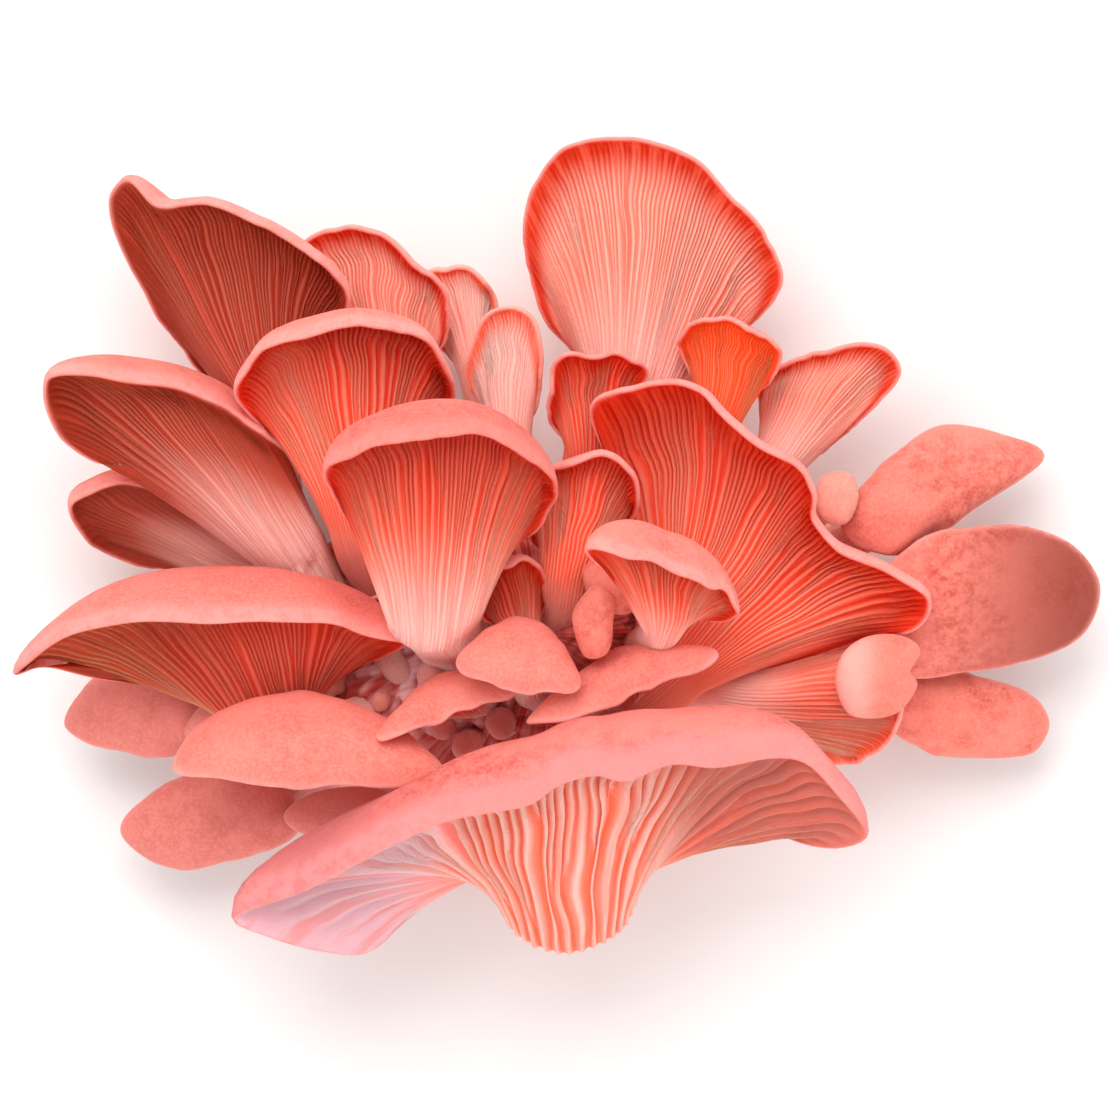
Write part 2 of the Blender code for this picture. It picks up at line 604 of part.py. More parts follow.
         gills=14, depth=0.9, seed=27),
    dict(name="fan_upper_left", tone="rose",
         top=(0.25, 0.55, -0.8), height=34, bulge=8,
         outline=[(-87.6, 73), (-84, 76), (-79, 71.6), (-73, 71.4), (-66, 70.4), (-58, 67),
                  (-50, 63), (-43, 57), (-41, 50), (-48, 41), (-56, 34), (-64, 32), (-70, 38),
                  (-78, 49), (-85, 61), (-87.8, 68)],
         stem=[(-60, 39), (-44, 22, 15), (-36, 6, 14)], radii=(6.5, 6),
         gills=20, depth=1.2, square=2.8, roll=1, wave=0.4, seed=28),
    dict(name="fan_upper_left_back", tone="orange",
         top=(0.2, 0.5, -0.84), height=24, bulge=6,
         outline=[(-50.6, 62), (-42, 66.4), (-34, 64.6), (-26, 58.6), (-21, 51), (-22, 43),
                  (-30, 36), (-40, 36), (-46, 46)],
         stem=[(-32, 40), (-24, 18, 14), (-20, 10, 12)], radii=(5.5, 5),
         gills=16, depth=1, seed=29),
    dict(name="cap_small_top", tone="orange",
         top=(0, 0.45, -0.9), height=17, bulge=4,
         outline=[(-25, 57), (-21.6, 59.4), (-17.6, 59.4), (-13.6, 56.6), (-10.6, 50.6), (-12, 43),
                  (-17, 40), (-22, 44)],
         stem=[(-16, 44), (-9, 14, 10)], radii=(3.5, 4),
         gills=11, depth=0.7, seed=30),
    dict(name="cap_small_left", tone="rose",
         top=(-0.2, 0.72, -0.66), height=26, bulge=9,
         outline=[(-96, 10), (-91, 14), (-84, 15.4), (-76, 14), (-67, 10.6), (-60, 4), (-61, -1),
                  (-70, -1.5), (-80, -1), (-90, 2)],
         stem=[(-68, 2), (-46, -3, 13)], radii=(4.5, 5),
         gills=12, depth=0.8, square=2.8, roll=1, seed=31),
    dict(name="bud_left", tone="rose", joins="bonnet_left",
         top=(-0.4, 0.2, 0.9), height=31.5, bulge=3,
         outline=[(-73, -35), (-70, -30), (-65, -27.6), (-61, -29), (-62, -33.6), (-68, -37.6)],
         stem=[(-66, -32), (-56, -30, 26)], radii=(2.6, 4),
         gills=7, depth=0.4, wave=0.1, seed=32),
    dict(name="cap_left_round", tone="rose",
         top=(-0.3, 0.15, 0.94), height=20, bulge=5,
         outline=[(-97.6, -32), (-94, -26), (-89, -22.6), (-80, -21), (-71, -24), (-66, -30),
                  (-72, -36.6), (-81, -39), (-90, -37.8), (-96, -35)],
         stem=[(-74, -30), (-43, -32, 8)], radii=(4.5, 5),
         gills=12, depth=0.7, roll=0.5, seed=33),
    dict(name="cap_low_left_small", tone="rose",
         top=(0, -0.2, 0.98), height=30, bulge=3,
         outline=[(-53, -51), (-47, -47), (-38, -46), (-31, -48), (-33, -52), (-42, -54.8),
                  (-50, -54.4)],
         stem=[(-39, -50), (-28, -46, 20)], radii=(3, 4),
         gills=8, depth=0.5, wave=0.1, seed=34),
    dict(name="cap_low_left", tone="rose",
         top=(-0.25, -0.1, 0.96), height=22, bulge=6,
         outline=[(-86, -55), (-82, -49), (-74, -44.4), (-64, -43), (-54, -46), (-51, -53),
                  (-56, -58), (-64, -60.4), (-72, -62.2), (-80, -61)],
         stem=[(-60, -51), (-36, -38, 12)], radii=(4.5, 5),
         gills=12, depth=0.7, roll=0.5, seed=35),
]


def main():
    """Grow the butt and every fruit body, fuse the small ones in and clear the rest apart."""
    for leftover in list(bpy.data.objects):
        bpy.data.objects.remove(leftover, do_unlink=True)
    feet = [entry["stem"][-1] for entry in FRUIT if "joins" not in entry]
    base = put("base", mesh_from_rings("base", *base_rings(feet)), "pale")
    socket = put("socket", mesh_from_rings("socket", *base_rings(feet, SOCKET_GAP)), "pale")
    for shape in BUDS:
        for whole, extra in ((base, 0.0), (socket, SOCKET_GAP)):
            bud = put("bud", mesh_from_rings("bud", *bud_rings(*shape, extra)), "pale")
            combine(whole, bud, "UNION")
            bpy.data.objects.remove(bud, do_unlink=True)

    bodies = {}
    for entry in FRUIT:
        sizes = {key: entry[key] for key in entry if key not in ("name", "tone", "joins")}
        mesh = mesh_from_rings(entry["name"], *fruit_body(**sizes))
        bodies[entry["name"]] = put(entry["name"], mesh, entry["tone"])
    for entry in FRUIT:
        if "joins" in entry:
            bud = bodies.pop(entry["name"])
            combine(bodies[entry["joins"]], bud, "UNION")
            bpy.data.objects.remove(bud, do_unlink=True)
    done = []
    for entry in FRUIT:
        body = bodies.get(entry["name"])
        if body is None:
            continue
        if touching(body, socket):
            combine(body, socket, "DIFFERENCE")
        for front in done:
            if touching(body, front):
                cutter = swollen(front, GAP * MM)
                combine(body, cutter, "DIFFERENCE")
                bpy.data.objects.remove(cutter, do_unlink=True)
        done.append(body)
    bpy.data.objects.remove(socket, do_unlink=True)

    for thing in done + [base]:
        thing.data.shade_smooth()
        thing.data.set_sharp_from_angle(angle=math.radians(SHARP_ANGLE))


main()
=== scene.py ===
# %% [markdown]
# # A cluster of pink oyster mushrooms
#
# Thirty-odd fruit bodies crowd on one lumpy butt of mushroom flesh. Each has a cap with a velvety
# top, a thin rolled margin, gills that run from the margin down onto the stem, and a short stem
# that bends out of the butt. The whole lies on its cut foot, and we look straight down on it.
# The plan: one surface recipe, fed with a few traced points each, grows every fruit body.

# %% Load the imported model
import math

import bpy
import numpy as np
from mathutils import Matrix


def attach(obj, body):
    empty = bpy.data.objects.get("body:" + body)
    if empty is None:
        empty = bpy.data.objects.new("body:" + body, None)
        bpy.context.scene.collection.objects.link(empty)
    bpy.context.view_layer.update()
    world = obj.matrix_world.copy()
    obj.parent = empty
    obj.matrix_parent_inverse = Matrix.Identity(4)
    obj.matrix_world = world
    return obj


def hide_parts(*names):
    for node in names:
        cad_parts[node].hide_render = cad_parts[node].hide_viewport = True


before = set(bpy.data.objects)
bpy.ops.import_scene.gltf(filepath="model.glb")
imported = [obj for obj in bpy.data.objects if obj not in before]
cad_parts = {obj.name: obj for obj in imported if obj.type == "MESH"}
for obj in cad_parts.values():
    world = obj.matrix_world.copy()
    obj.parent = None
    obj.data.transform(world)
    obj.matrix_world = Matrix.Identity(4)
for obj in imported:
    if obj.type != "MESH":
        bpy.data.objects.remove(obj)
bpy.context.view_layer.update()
MM = 0.001


# %% [markdown]
# ## Camera, floor and light
#
# The cluster is seen from right above, so the camera looks straight down from far off, with a long
# lens: that keeps high and low caps at nearly the same scale. The light is a broad soft panel from
# the top of the picture, which is what brightens the upper margins and leaves the gills in warm
# shade, and a pale room around it that fills the hollows. Small hard lamps would draw black
# shadows between the caps, which soft flesh in a light room doesn't show.

# %% Camera
CAMERA_HEIGHT = 3.0
FOCUS_HEIGHT = 0.045
FRAME_TALL = 0.2232
FRAME_CENTRE = (0.0008, 0.0004)
FAR_CLIP = 20.0

camera_data = bpy.data.cameras.new("camera")
camera_data.lens = camera_data.sensor_width * (CAMERA_HEIGHT - FOCUS_HEIGHT) / FRAME_TALL
camera_data.clip_end = FAR_CLIP
camera = bpy.data.objects.new("camera", camera_data)
camera.location = (*FRAME_CENTRE, CAMERA_HEIGHT)
bpy.context.scene.collection.objects.link(camera)
bpy.context.scene.camera = camera
print("lens, mm:", round(camera_data.lens))

# %% Floor
FLOOR_HALF = 6.0
FLOOR_LEVEL = -0.0002
FLOOR_WHITE = (0.88, 0.88, 0.88, 1.0)
FLOOR_ROUGHNESS = 0.9

corners = [(x * FLOOR_HALF, y * FLOOR_HALF, FLOOR_LEVEL)
           for x, y in ((-1, -1), (1, -1), (1, 1), (-1, 1))]
floor_mesh = bpy.data.meshes.new("floor")
floor_mesh.from_pydata(corners, [], [(0, 1, 2, 3)])
floor = bpy.data.objects.new("floor", floor_mesh)
bpy.context.scene.collection.objects.link(floor)
floor_paint = bpy.data.materials.new("floor paint")
floor_paint.use_nodes = True
floor_shader = floor_paint.node_tree.nodes["Principled BSDF"]
floor_shader.inputs["Base Color"].default_value = FLOOR_WHITE
floor_shader.inputs["Roughness"].default_value = FLOOR_ROUGHNESS
floor_mesh.materials.append(floor_paint)
print("floor, m wide:", 2 * FLOOR_HALF)

# %% Lights
LAMP_SIZE = 0.9
LAMPS = [
    ("key panel", (-0.15, 0.62, 1.10), 11.0, (1.0, 0.98, 0.96)),
    ("low fill", (0.15, -0.9, 0.6), 3.5, (1.0, 0.95, 0.93)),
]
AIM = (0.0, -0.01, 0.03)
ROOM_COLOUR = (1.0, 0.99, 0.98, 1.0)
ROOM_STRENGTH = 0.88


def panel(name, place, power, colour):
    """Soft square lamp that faces the cluster."""
    lamp = bpy.data.lights.new(name, "AREA")
    lamp.size = LAMP_SIZE
    lamp.energy = power
    lamp.color = colour
    holder = bpy.data.objects.new(name, lamp)
    holder.location = place
    bpy.context.scene.collection.objects.link(holder)
    follow = holder.constraints.new("TRACK_TO")
    follow.target = aim
    follow.track_axis = "TRACK_NEGATIVE_Z"
    follow.up_axis = "UP_Y"


aim = bpy.data.objects.new("lamp_aim", None)
aim.location = AIM
bpy.context.scene.collection.objects.link(aim)
for lamp_values in LAMPS:
    panel(*lamp_values)
room = bpy.data.worlds.new("room")
room.use_nodes = True
background = room.node_tree.nodes["Background"]
background.inputs["Color"].default_value = ROOM_COLOUR
background.inputs["Strength"].default_value = ROOM_STRENGTH
bpy.context.scene.world = room
bpy.context.scene.view_settings.view_transform = "Standard"

# %% [markdown]
# ## Vectors and smooth curves
#
# A margin is a closed smooth curve through a few traced points, and a stem follows a bent path.
# These helpers turn a handful of points into as many samples as a surface needs. Blender's own
# curves could do it too, but here each sample has to know its place on the ring. The samples lie
# closer together where the margin faces the stem, because that is where the gills crowd.

# %% Helpers for directions and curves
TINY = 1e-9


def unit(vectors):
    """Vectors scaled to length one."""
    vectors = np.asarray(vectors, float)
    length = np.linalg.norm(vectors, axis=-1, keepdims=True)
    return vectors / np.maximum(length, TINY)


def turn(vectors, start, end):
    """Vectors carried by the smallest turn that takes start to end."""
    axis = np.cross(start, end)
    sine = np.linalg.norm(axis)
    cosine = float(np.dot(start, end))
    if sine < 1e-6:
        return vectors
    axis = axis / sine
    along = np.outer(vectors @ axis, axis) * (1 - cosine)
    return vectors * cosine + np.cross(axis, vectors) * sine + along


def path_point(path, t):
    """Point of the smooth curve that has the path's points as its controls."""
    points = np.array(path, float)
    while len(points) > 1:
        points = points[:-1] * (1 - t) + points[1:] * t
    return points[0]


print("halfway round a bend:", path_point([(0, 0, 0), (10, 0, 0), (10, 10, 0)], 0.5))


# %% Helpers for rings
def ring_turns(count):
    """Angles of points that stand evenly round a ring."""
    return np.arange(count) / count * 2 * math.pi


def even_out(values, times):
    """Values round a ring, each drawn towards its neighbours."""
    for _ in range(times):
        values = (np.roll(values, 1, axis=0) + 2 * values + np.roll(values, -1, axis=0)) / 4
    return values


def passes_for(columns):
    """How often even_out has to run to calm a ring of this many points."""
    return int((columns / 40) ** 2) + 1


def wander(rng, count, passes):
    """Smooth random values round a ring, of about unit size."""
    values = even_out(rng.normal(size=count), passes)
    return values / max(values.std(), TINY)


print("one high value, evened out:", even_out(np.array([0.0, 0.0, 1.0, 0.0, 0.0]), 1))

# %% The margin as a smooth loop
SAMPLES_PER_CORNER = 24


def smooth_loop(points, count, hub):
    """Samples of a smooth closed curve, closer where it faces the hub than where it runs to it."""
    points = np.asarray(points, float)
    before = np.roll(points, 1, axis=0)
    after = np.roll(points, -1, axis=0)
    beyond = np.roll(points, -2, axis=0)
    fine = []
    for p0, p1, p2, p3 in zip(before, points, after, beyond):
        for t in np.linspace(0, 1, SAMPLES_PER_CORNER, endpoint=False):
            square = (2 * p0 - 5 * p1 + 4 * p2 - p3) * t * t
            cube = (3 * p1 - p0 - 3 * p2 + p3) * t ** 3
            fine.append(0.5 * (2 * p1 + (p2 - p0) * t + square + cube))
    fine.append(fine[0])
    fine = np.array(fine)
    steps = np.linalg.norm(np.diff(fine, axis=0), axis=1)
    sight = unit(fine - hub)
    turned = np.linalg.norm(np.diff(sight, axis=0), axis=1)
    weight = np.sqrt(steps * turned) + steps * 0.6 / steps.sum()
    length = np.concatenate([[0.0], np.cumsum(weight)])
    wanted = np.linspace(0, length[-1], count, endpoint=False)
    return np.column_stack([np.interp(wanted, length, fine[:, k]) for k in range(3)])


def rim_points(outline, top, height):
    """Rim in space: points with two coordinates lie in the plane square to top."""
    flat = np.array([point[:2] for point in outline], float)
    centre = flat.mean(axis=0)
    result = []
    for point in outline:
        if len(point) == 3:
            result.append(point)
        else:
            slope = (top[0] * (point[0] - centre[0]) + top[1] * (point[1] - centre[1])) / top[2]
            result.append((point[0], point[1], height - slope))
    return np.array(result)


# %% [markdown]
# ## Growing one fruit body
#
# The surface is a stack of rings with the same number of points. It starts at the middle of the
# cap, swells outwards as the velvety top, turns round the thin rolled margin, runs back under the
# cap as gills and closes into the stem. Real gills are thin blades, and between two full ones
# short ones start at the margin and stop part of the way in. Every fourth column is a full blade,
# the column halfway between two is a short one, and the columns next to them are the gaps. Where
# a short blade ends, it sinks and the gaps rise, so that the full blades grow broader there. A
# picture of gills on a plain sheet would be quicker, but blades that are real folds of the
# surface catch the light from every side. Each vertex also keeps a few numbers for the paint: how
# high it stands on a blade, how near the margin and the foot it is, and whether it belongs to the
# cap's top. Lengths are in millimetres until the mesh is made.

# %% The rim of one cap
HUB_SHARE = 0.6
CROWN_LEAN = 0.35


def stem_start(place, middle, top, radius):
    """Where the stem leaves the cap: a given point, or one a little below the rim's plane."""
    hilum = np.array(place, float)
    if len(place) == 2:
        slope = (top[:2] @ (hilum - middle[:2])) / top[2]
        hilum = np.array([hilum[0], hilum[1], middle[2] - slope]) - top * radius * 1.1
    return hilum


def cap_rim(corners, top, middle, hilum, columns, wave, seed, rng):
    """Rippled rim, a calm copy of it, the crown in the middle of the cap, and the ways out."""
    rim = smooth_loop(corners, columns, middle * (1 - HUB_SHARE) + hilum * HUB_SHARE)
    facing = np.cross(rim, np.roll(rim, -1, axis=0)).sum(axis=0)
    if np.dot(facing, top) < 0:
        rim = rim[::-1]
    calm = even_out(rim, passes_for(columns))
    turns = ring_turns(columns)
    ripple = np.sin(5 * turns + seed) + 0.7 * np.sin(9 * turns + 2.3 * seed)
    ripple = ripple + 0.35 * wander(rng, columns, 60) + 0.12 * wander(rng, columns, 8)
    rim = rim + np.outer(ripple * wave, top)
    over = hilum + top * np.dot(middle - hilum, top)
    crown = middle * (1 - CROWN_LEAN) + over * CROWN_LEAN
    outward = unit(rim - crown)
    frill = 0.35 * wander(rng, columns, 80) + 0.08 * wander(rng, columns, 6)
    rim = rim + outward * (frill * min(1.0, wave * 2))[:, None]
    return rim, calm, crown, outward


# %% The velvety top and the rolled margin
MARGIN_THICKNESS = 1.0
HALF = MARGIN_THICKNESS / 2
TOP_RINGS = 12
NEAR_RIM = 0.985
MARGIN_TURNS = ((0.0, 1.0), (0.25, 1.0), (0.5, 0.75), (0.75, 0.25))


def dome(share, square, roll):
    """Height of the dome for a way out from the middle, from 1 there to 0 at the rim."""
    return (1 - share ** square) ** (1 - 0.6 * roll)


def rim_frame(rim, crown, top, outward, bulge, square, roll):
    """At each point of the rim the way out of the skin, down over the edge, and along it."""
    step = crown + (rim - crown) * NEAR_RIM + top * bulge * dome(NEAR_RIM, square, roll)
    down = even_out(unit(rim - step), 3)
    along = unit(np.roll(rim, -1, axis=0) - np.roll(rim, 1, axis=0))
    skin = unit(np.cross(along, down))
    if np.sum(skin * (outward + top)) < 0:
        skin = -skin
    return skin, down, along


def paint(columns, blade, margin, along, top):
    """Paint values of one ring; each is one number, or a number for every column."""
    return np.column_stack([np.full(columns, value) for value in (blade, margin, along, top)])


def cap_rings(rim, calm, crown, top, bulge, square, roll, skin, down):
    """Rings of the top from the middle out and round the rolled margin, and their paint."""
    rings = []
    values = []
    for k in range(1, TOP_RINGS + 1):
        share = math.sin(math.pi / 2 * k / (TOP_RINGS + 1)) ** 0.85
        rise = bulge * dome(share, square, roll)
        lean = unit(top * (1 - share ** 4) + skin * share ** 4)
        edge = calm + (rim - calm) * share ** 5
        rings.append(crown + (edge - crown) * share + top * rise + lean * HALF)
        values.append(paint(len(rim), 0.5, (k / TOP_RINGS) ** 6, 0.0, 1.0))
    for share, upper in MARGIN_TURNS:
        angle = math.pi * share
        rings.append(rim + skin * HALF * math.cos(angle) + down * HALF * math.sin(angle))
        values.append(paint(len(rim), 0.5, 1.0, 0.0, upper))
    return rings, values


print("dome halfway out:", round(dome(0.5, 2.4, 0.8), 2))

# %% The throat, where the gills meet the stem
EVEN_SHARE = 0.35
CLEARANCE = 1.5


def throat_ring(rim, crown, top, hilum, lead, radius):
    """Ring where the stem starts, its spokes and their angles, and the stem's moved start."""
    aside = (0.0, 0.0, 1.0) if abs(top[2]) < 0.9 else (0.0, 1.0, 0.0)
    first = unit(np.cross(top, aside))
    second = np.cross(top, first)
    angle = np.unwrap(np.arctan2((rim - crown) @ second, (rim - crown) @ first))
    turns = ring_turns(len(rim))
    even = angle.mean() - turns.mean() + turns
    angle = angle * (1 - EVEN_SHARE) + even * EVEN_SHARE
    spokes = np.outer(np.cos(angle), first) + np.outer(np.sin(angle), second)
    spokes = turn(spokes, -top, lead)
    throat = hilum + spokes * radius
    beyond = (throat - rim) @ lead
    off_line = np.linalg.norm(rim - hilum - np.outer((rim - hilum) @ lead, lead), axis=1)
    near = beyond[off_line < 2.2 * radius]
    shift = lead * max(0.0, CLEARANCE - near.min()) if len(near) else np.zeros(3)
    return throat + shift, spokes, angle, hilum + shift


def gill_sweep(rim, throat, edge_ways, outward, top, lead, bulge, radius):
    """The sweep from margin to throat, and how far each column carries gills at all."""
    skin, down, along = edge_ways
    spread = passes_for(len(rim))
    clear = np.linalg.norm(throat - rim, axis=1) / radius
    square_on = 1 - np.abs(np.sum(along * unit(throat - rim), axis=1))
    gilled = np.clip(clear - 0.6, 0, 1) * np.clip(square_on / 0.3, 0, 1)
    gilled = even_out(gilled, 2 * spread)[:, None]
    inward = np.clip(0.5 + np.sum(unit(throat - rim) * -outward, axis=1), 0, 1)
    inward = even_out(inward, 2 * spread)[:, None]
    start = rim - skin * HALF * inward + down * HALF * 1.6 * (1 - inward)
    span = np.linalg.norm(throat - start, axis=1, keepdims=True)
    straight = unit(throat - start)
    climb = (-down @ top)[:, None] * np.minimum(span, bulge * 2.0) * 1.1
    slide = (-down + np.outer(down @ top, top)) * span * 1.1
    leave = (np.outer(climb[:, 0], top) + slide) * inward + straight * span * (1 - inward)
    arrive = lead * span * 0.9
    leave = even_out(leave - (throat - start), 3 * spread) + (throat - start)
    arrive = even_out(arrive - (throat - start), 3 * spread) + (throat - start)
    return (start, leave, throat, arrive), gilled


def swept(sweep, t):
    """Ring of the sweep at t, which is 0 at the margin and 1 at the throat."""
    start, leave, throat, arrive = sweep
    return ((2 * t ** 3 - 3 * t ** 2 + 1) * start + (t ** 3 - 2 * t ** 2 + t) * leave
            + (3 * t ** 2 - 2 * t ** 3) * throat + (t ** 3 - t ** 2) * arrive)


# %% Random blades
GILL_ROWS = 24
BLADES_PER_FOLD = 3.6
KNOTS = 9
SHORT_BLADE = 0.62
GAP_DEPTH = 0.55
BROADER = 0.5
SWAY = 0.8
MERGE = 1.2


def drift(rng, blades):
    """Smooth random sideways drift of each blade at each row, mostly shared with its neighbours."""
    shared = even_out(rng.normal(size=(blades, KNOTS)), 14)
    own = even_out(rng.normal(size=(blades, KNOTS)), 1)
    mixed = shared / shared.std() * 0.9 + own / own.std() * 0.32
    place = np.linspace(0, KNOTS - 1, GILL_ROWS + 1)
    low = np.minimum(place.astype(int), KNOTS - 2)
    share = place - low
    share = share * share * (3 - 2 * share)
    return mixed[:, low] * (1 - share) + mixed[:, low + 1] * share


def draw_blades(rng, count):
    """Random height, end, side to merge with, sway and swell of each blade."""
    return dict(tall=rng.uniform(0.75, 1.1, count), stop=rng.uniform(0.25, 0.85, count),
                merge=rng.choice([-1.0, 1.0], count), sway=drift(rng, count),
                swell=drift(rng, count))


def row_place(row):
    """How far in a row of the gills lies, from 0 to 1; the rows crowd near the margin."""
    return (row / GILL_ROWS) ** 1.25


def blade_heights(t, blades, swell):
    """Height of every column at t: full blade, gap, short blade, gap, and so on round."""
    full = blades["tall"] * (1 + 0.12 * swell)
    ended = 1 - np.clip((blades["stop"] - t) / 0.12, 0, 1)
    short = SHORT_BLADE * (1 - ended) - GAP_DEPTH * ended
    gap = BROADER * ended - GAP_DEPTH
    return np.column_stack([full, gap, short, gap]).ravel()


def blade_shifts(t, blades, sway):
    """Sideways shift of every column at t: blades sway, and a short one bends to a full one."""
    shift = sway * SWAY * min(1.0, t * 4) * min(1.0, (1 - t) * 3)
    following = np.roll(shift, -1)
    bend = np.clip((t - blades["stop"] + 0.3) / 0.3, 0, 1) * np.clip((0.95 - t) / 0.2, 0, 1)
    between = (shift + following) / 2 + bend * blades["merge"] * MERGE
    before = (shift + between) / 2
    after = (between + following) / 2
    return np.column_stack([shift, before, between, after]).ravel()


# %% Rows of gills
def blade_rise(t, run, across, span, depth):
    """How far full blades stand out: less where they crowd, slant or have only just begun."""
    width = np.linalg.norm(across, axis=1)
    square_on = width / np.maximum(np.linalg.norm(run, axis=1), TINY)
    rise = np.minimum(depth * 1.15, even_out(width * 2, 3) * (0.75 - 0.45 * t))
    rise = np.minimum(rise, 0.3 + span * 0.08)
    facing = even_out(np.clip(square_on * 1.8 - 0.35, 0, 1), passes_for(len(run)))
    return rise * facing * min(1.0, t * 5)


def gill_rows(sweep, blades, skin, depth):
    """Rings of the gills, how high their points stand on a blade, and the last ring's rise."""
    start = sweep[0]
    span = np.linalg.norm(sweep[2] - start, axis=1)
    rings = [start]
    shades = [np.full(len(start), 0.5)]
    for row in range(1, GILL_ROWS + 1):
        t = row_place(row)
        ring = swept(sweep, t)
        flow = unit(swept(sweep, min(1.0, t + 0.02)) - swept(sweep, t - 0.02))
        run = np.roll(ring, -1, axis=0) - np.roll(ring, 1, axis=0)
        across = run - flow * np.sum(run * flow, axis=1, keepdims=True)
        normal = unit(even_out(np.cross(run, flow), 3))
        if row == 1:
            side = -1.0 if np.sum(normal * -skin) < 0 else 1.0
        rise = blade_rise(t, run, across, span, depth)
        heights = blade_heights(t, blades, blades["swell"][:, row])
        shift = blade_shifts(t, blades, blades["sway"][:, row])
        lifted = ring + normal * (heights * rise * side)[:, None]
        rings.append(lifted + across / 2 * shift[:, None])
        shades.append(np.clip(0.35 + 0.62 * heights * np.minimum(1.0, rise / 0.45), 0, 1))
    return rings, shades, rise


def close_heel(rings, shades, edge, throat, gilled):
    """Where a column has no room for gills, lead its points straight from the edge to the throat."""
    for k, ring in enumerate(rings):
        part_way = (k + 1) / (len(rings) + 1)
        heel = edge * (1 - part_way) + throat * part_way
        rings[k] = heel * (1 - gilled) + ring * gilled
        shades[k] = shades[k] * gilled[:, 0] + 0.5 * (1 - gilled[:, 0])


# %% The stem, and all rings in order
STEM_STEP = 3.5
GILLS_RUN_DOWN = 0.55


def stem_rows(path, lead, spokes, angle, radii, ribs, gilled, seed):
    """Rings of the stem, which the gills run down as ribs, their paint, and the end's way."""
    reach = sum(np.linalg.norm(b - a) for a, b in zip(path, path[1:]))
    count = max(5, int(reach / STEM_STEP))
    rings = []
    values = []
    heights, rise = ribs
    for row in range(1, count + 1):
        share = row / count
        ahead = unit(path_point(path, share) - path_point(path, share - 0.04))
        spokes = turn(spokes, lead, ahead)
        lead = ahead
        radius = radii[0] + (radii[1] - radii[0]) * share
        fade = max(0.0, 1 - share / GILLS_RUN_DOWN) ** 1.3
        standing = heights * fade * gilled[:, 0]
        lumps = 0.03 * np.sin(3 * angle + 7 * share + seed) + 0.02 * np.sin(7 * angle + 5 * share)
        out = radius * (1 + lumps) + standing * rise
        rings.append(path_point(path, share) + spokes * out[:, None])
        shade = np.clip(0.5 + 0.4 * standing, 0, 1)
        values.append(paint(len(spokes), shade, 0.0, 0.55 + 0.45 * share, 0.0))
    return rings, values, lead


def fruit_body(outline, top, height, bulge, stem, radii, gills, depth, square=2.4, roll=0.8,
               wave=0.5, seed=0, blades=None):
    """Rings of points of one fruit body, their paint, and the points that close its two ends."""
    rng = np.random.default_rng(seed + 100)
    top = unit(top)
    corners = rim_points(outline, top, height)
    columns = 4 * (blades or int(round(gills * BLADES_PER_FOLD)))
    middle = smooth_loop(corners, columns, corners.mean(axis=0)).mean(axis=0)
    hilum = stem_start(stem[0], middle, top, radii[0])
    rim, calm, crown, outward = cap_rim(corners, top, middle, hilum, columns, wave, seed, rng)
    edge_ways = rim_frame(rim, crown, top, outward, bulge, square, roll)
    skin, down, along = edge_ways
    rings, values = cap_rings(rim, calm, crown, top, bulge, square, roll, skin, down)

    path = [hilum] + [np.array(point, float) for point in stem[1:]]
    lead = unit(path_point(path, 0.05) - path_point(path, 0.0))
    throat, spokes, angle, path[0] = throat_ring(rim, crown, top, hilum, lead, radii[0])
    sweep, gilled = gill_sweep(rim, throat, edge_ways, outward, top, lead, bulge, radii[0])
    drawn = draw_blades(rng, columns // 4)
    lower, shades, rise = gill_rows(sweep, drawn, skin, depth)
    close_heel(lower, shades, rings[-1], throat, gilled)
    for row, shade in enumerate(shades):
        t = row_place(row)
        values.append(paint(columns, shade, math.exp(-t * 7.0), 0.05 + 0.5 * t, 0.0))

    ribs = (blade_heights(1.0, drawn, 0.0), rise)
    stalk, stalk_values, way = stem_rows(path, lead, spokes, angle, radii, ribs, gilled, seed)
    pole = crown + top * (bulge + HALF)
    end = path[-1] + way * radii[1] * 0.3
    return rings + lower + stalk, values + stalk_values, pole, end


# %% A mesh from the rings
def mesh_from_rings(name, rings, values, pole, end):
    """Mesh through the rings with a point at each end, and the paint values on its vertices."""
    count = len(rings[0])
    points = np.concatenate([[pole]] + rings + [[end]]) * MM
    colours = np.concatenate([values[0][:1] * [1, 0, 1, 1]] + values + [values[-1][:1]])
    around = np.arange(count)
    after = (around + 1) % count
    faces = [(0, int(a) + 1, int(b) + 1) for a, b in zip(around, after)]
    for k in range(len(rings) - 1):
        upper = 1 + k * count
        lower = upper + count
        faces.extend(zip((upper + around).tolist(), (lower + around).tolist(),
                         (lower + after).tolist(), (upper + after).tolist()))
    last = 1 + (len(rings) - 1) * count
    tip = len(points) - 1
    faces.extend((last + int(a), tip, last + int(b)) for a, b in zip(around, after))
    mesh = bpy.data.meshes.new(name)
    mesh.from_pydata(points.tolist(), [], faces)
    layer = mesh.attributes.new("growth", "FLOAT_COLOR", "POINT")
    layer.data.foreach_set("color", colours.astype(np.float32).ravel())
    angle = ring_turns(count)
    grain = [np.zeros((1, 3))]
    for value in values:
        grain.append(np.column_stack([np.cos(angle), np.sin(angle), value[:, 2] * 0.15]))
    grain.append(np.zeros((1, 3)))
    streaks = mesh.attributes.new("grain", "FLOAT_VECTOR", "POINT")
    streaks.data.foreach_set("vector", np.concatenate(grain).astype(np.float32).ravel())
    mesh.shade_smooth()
    return mesh


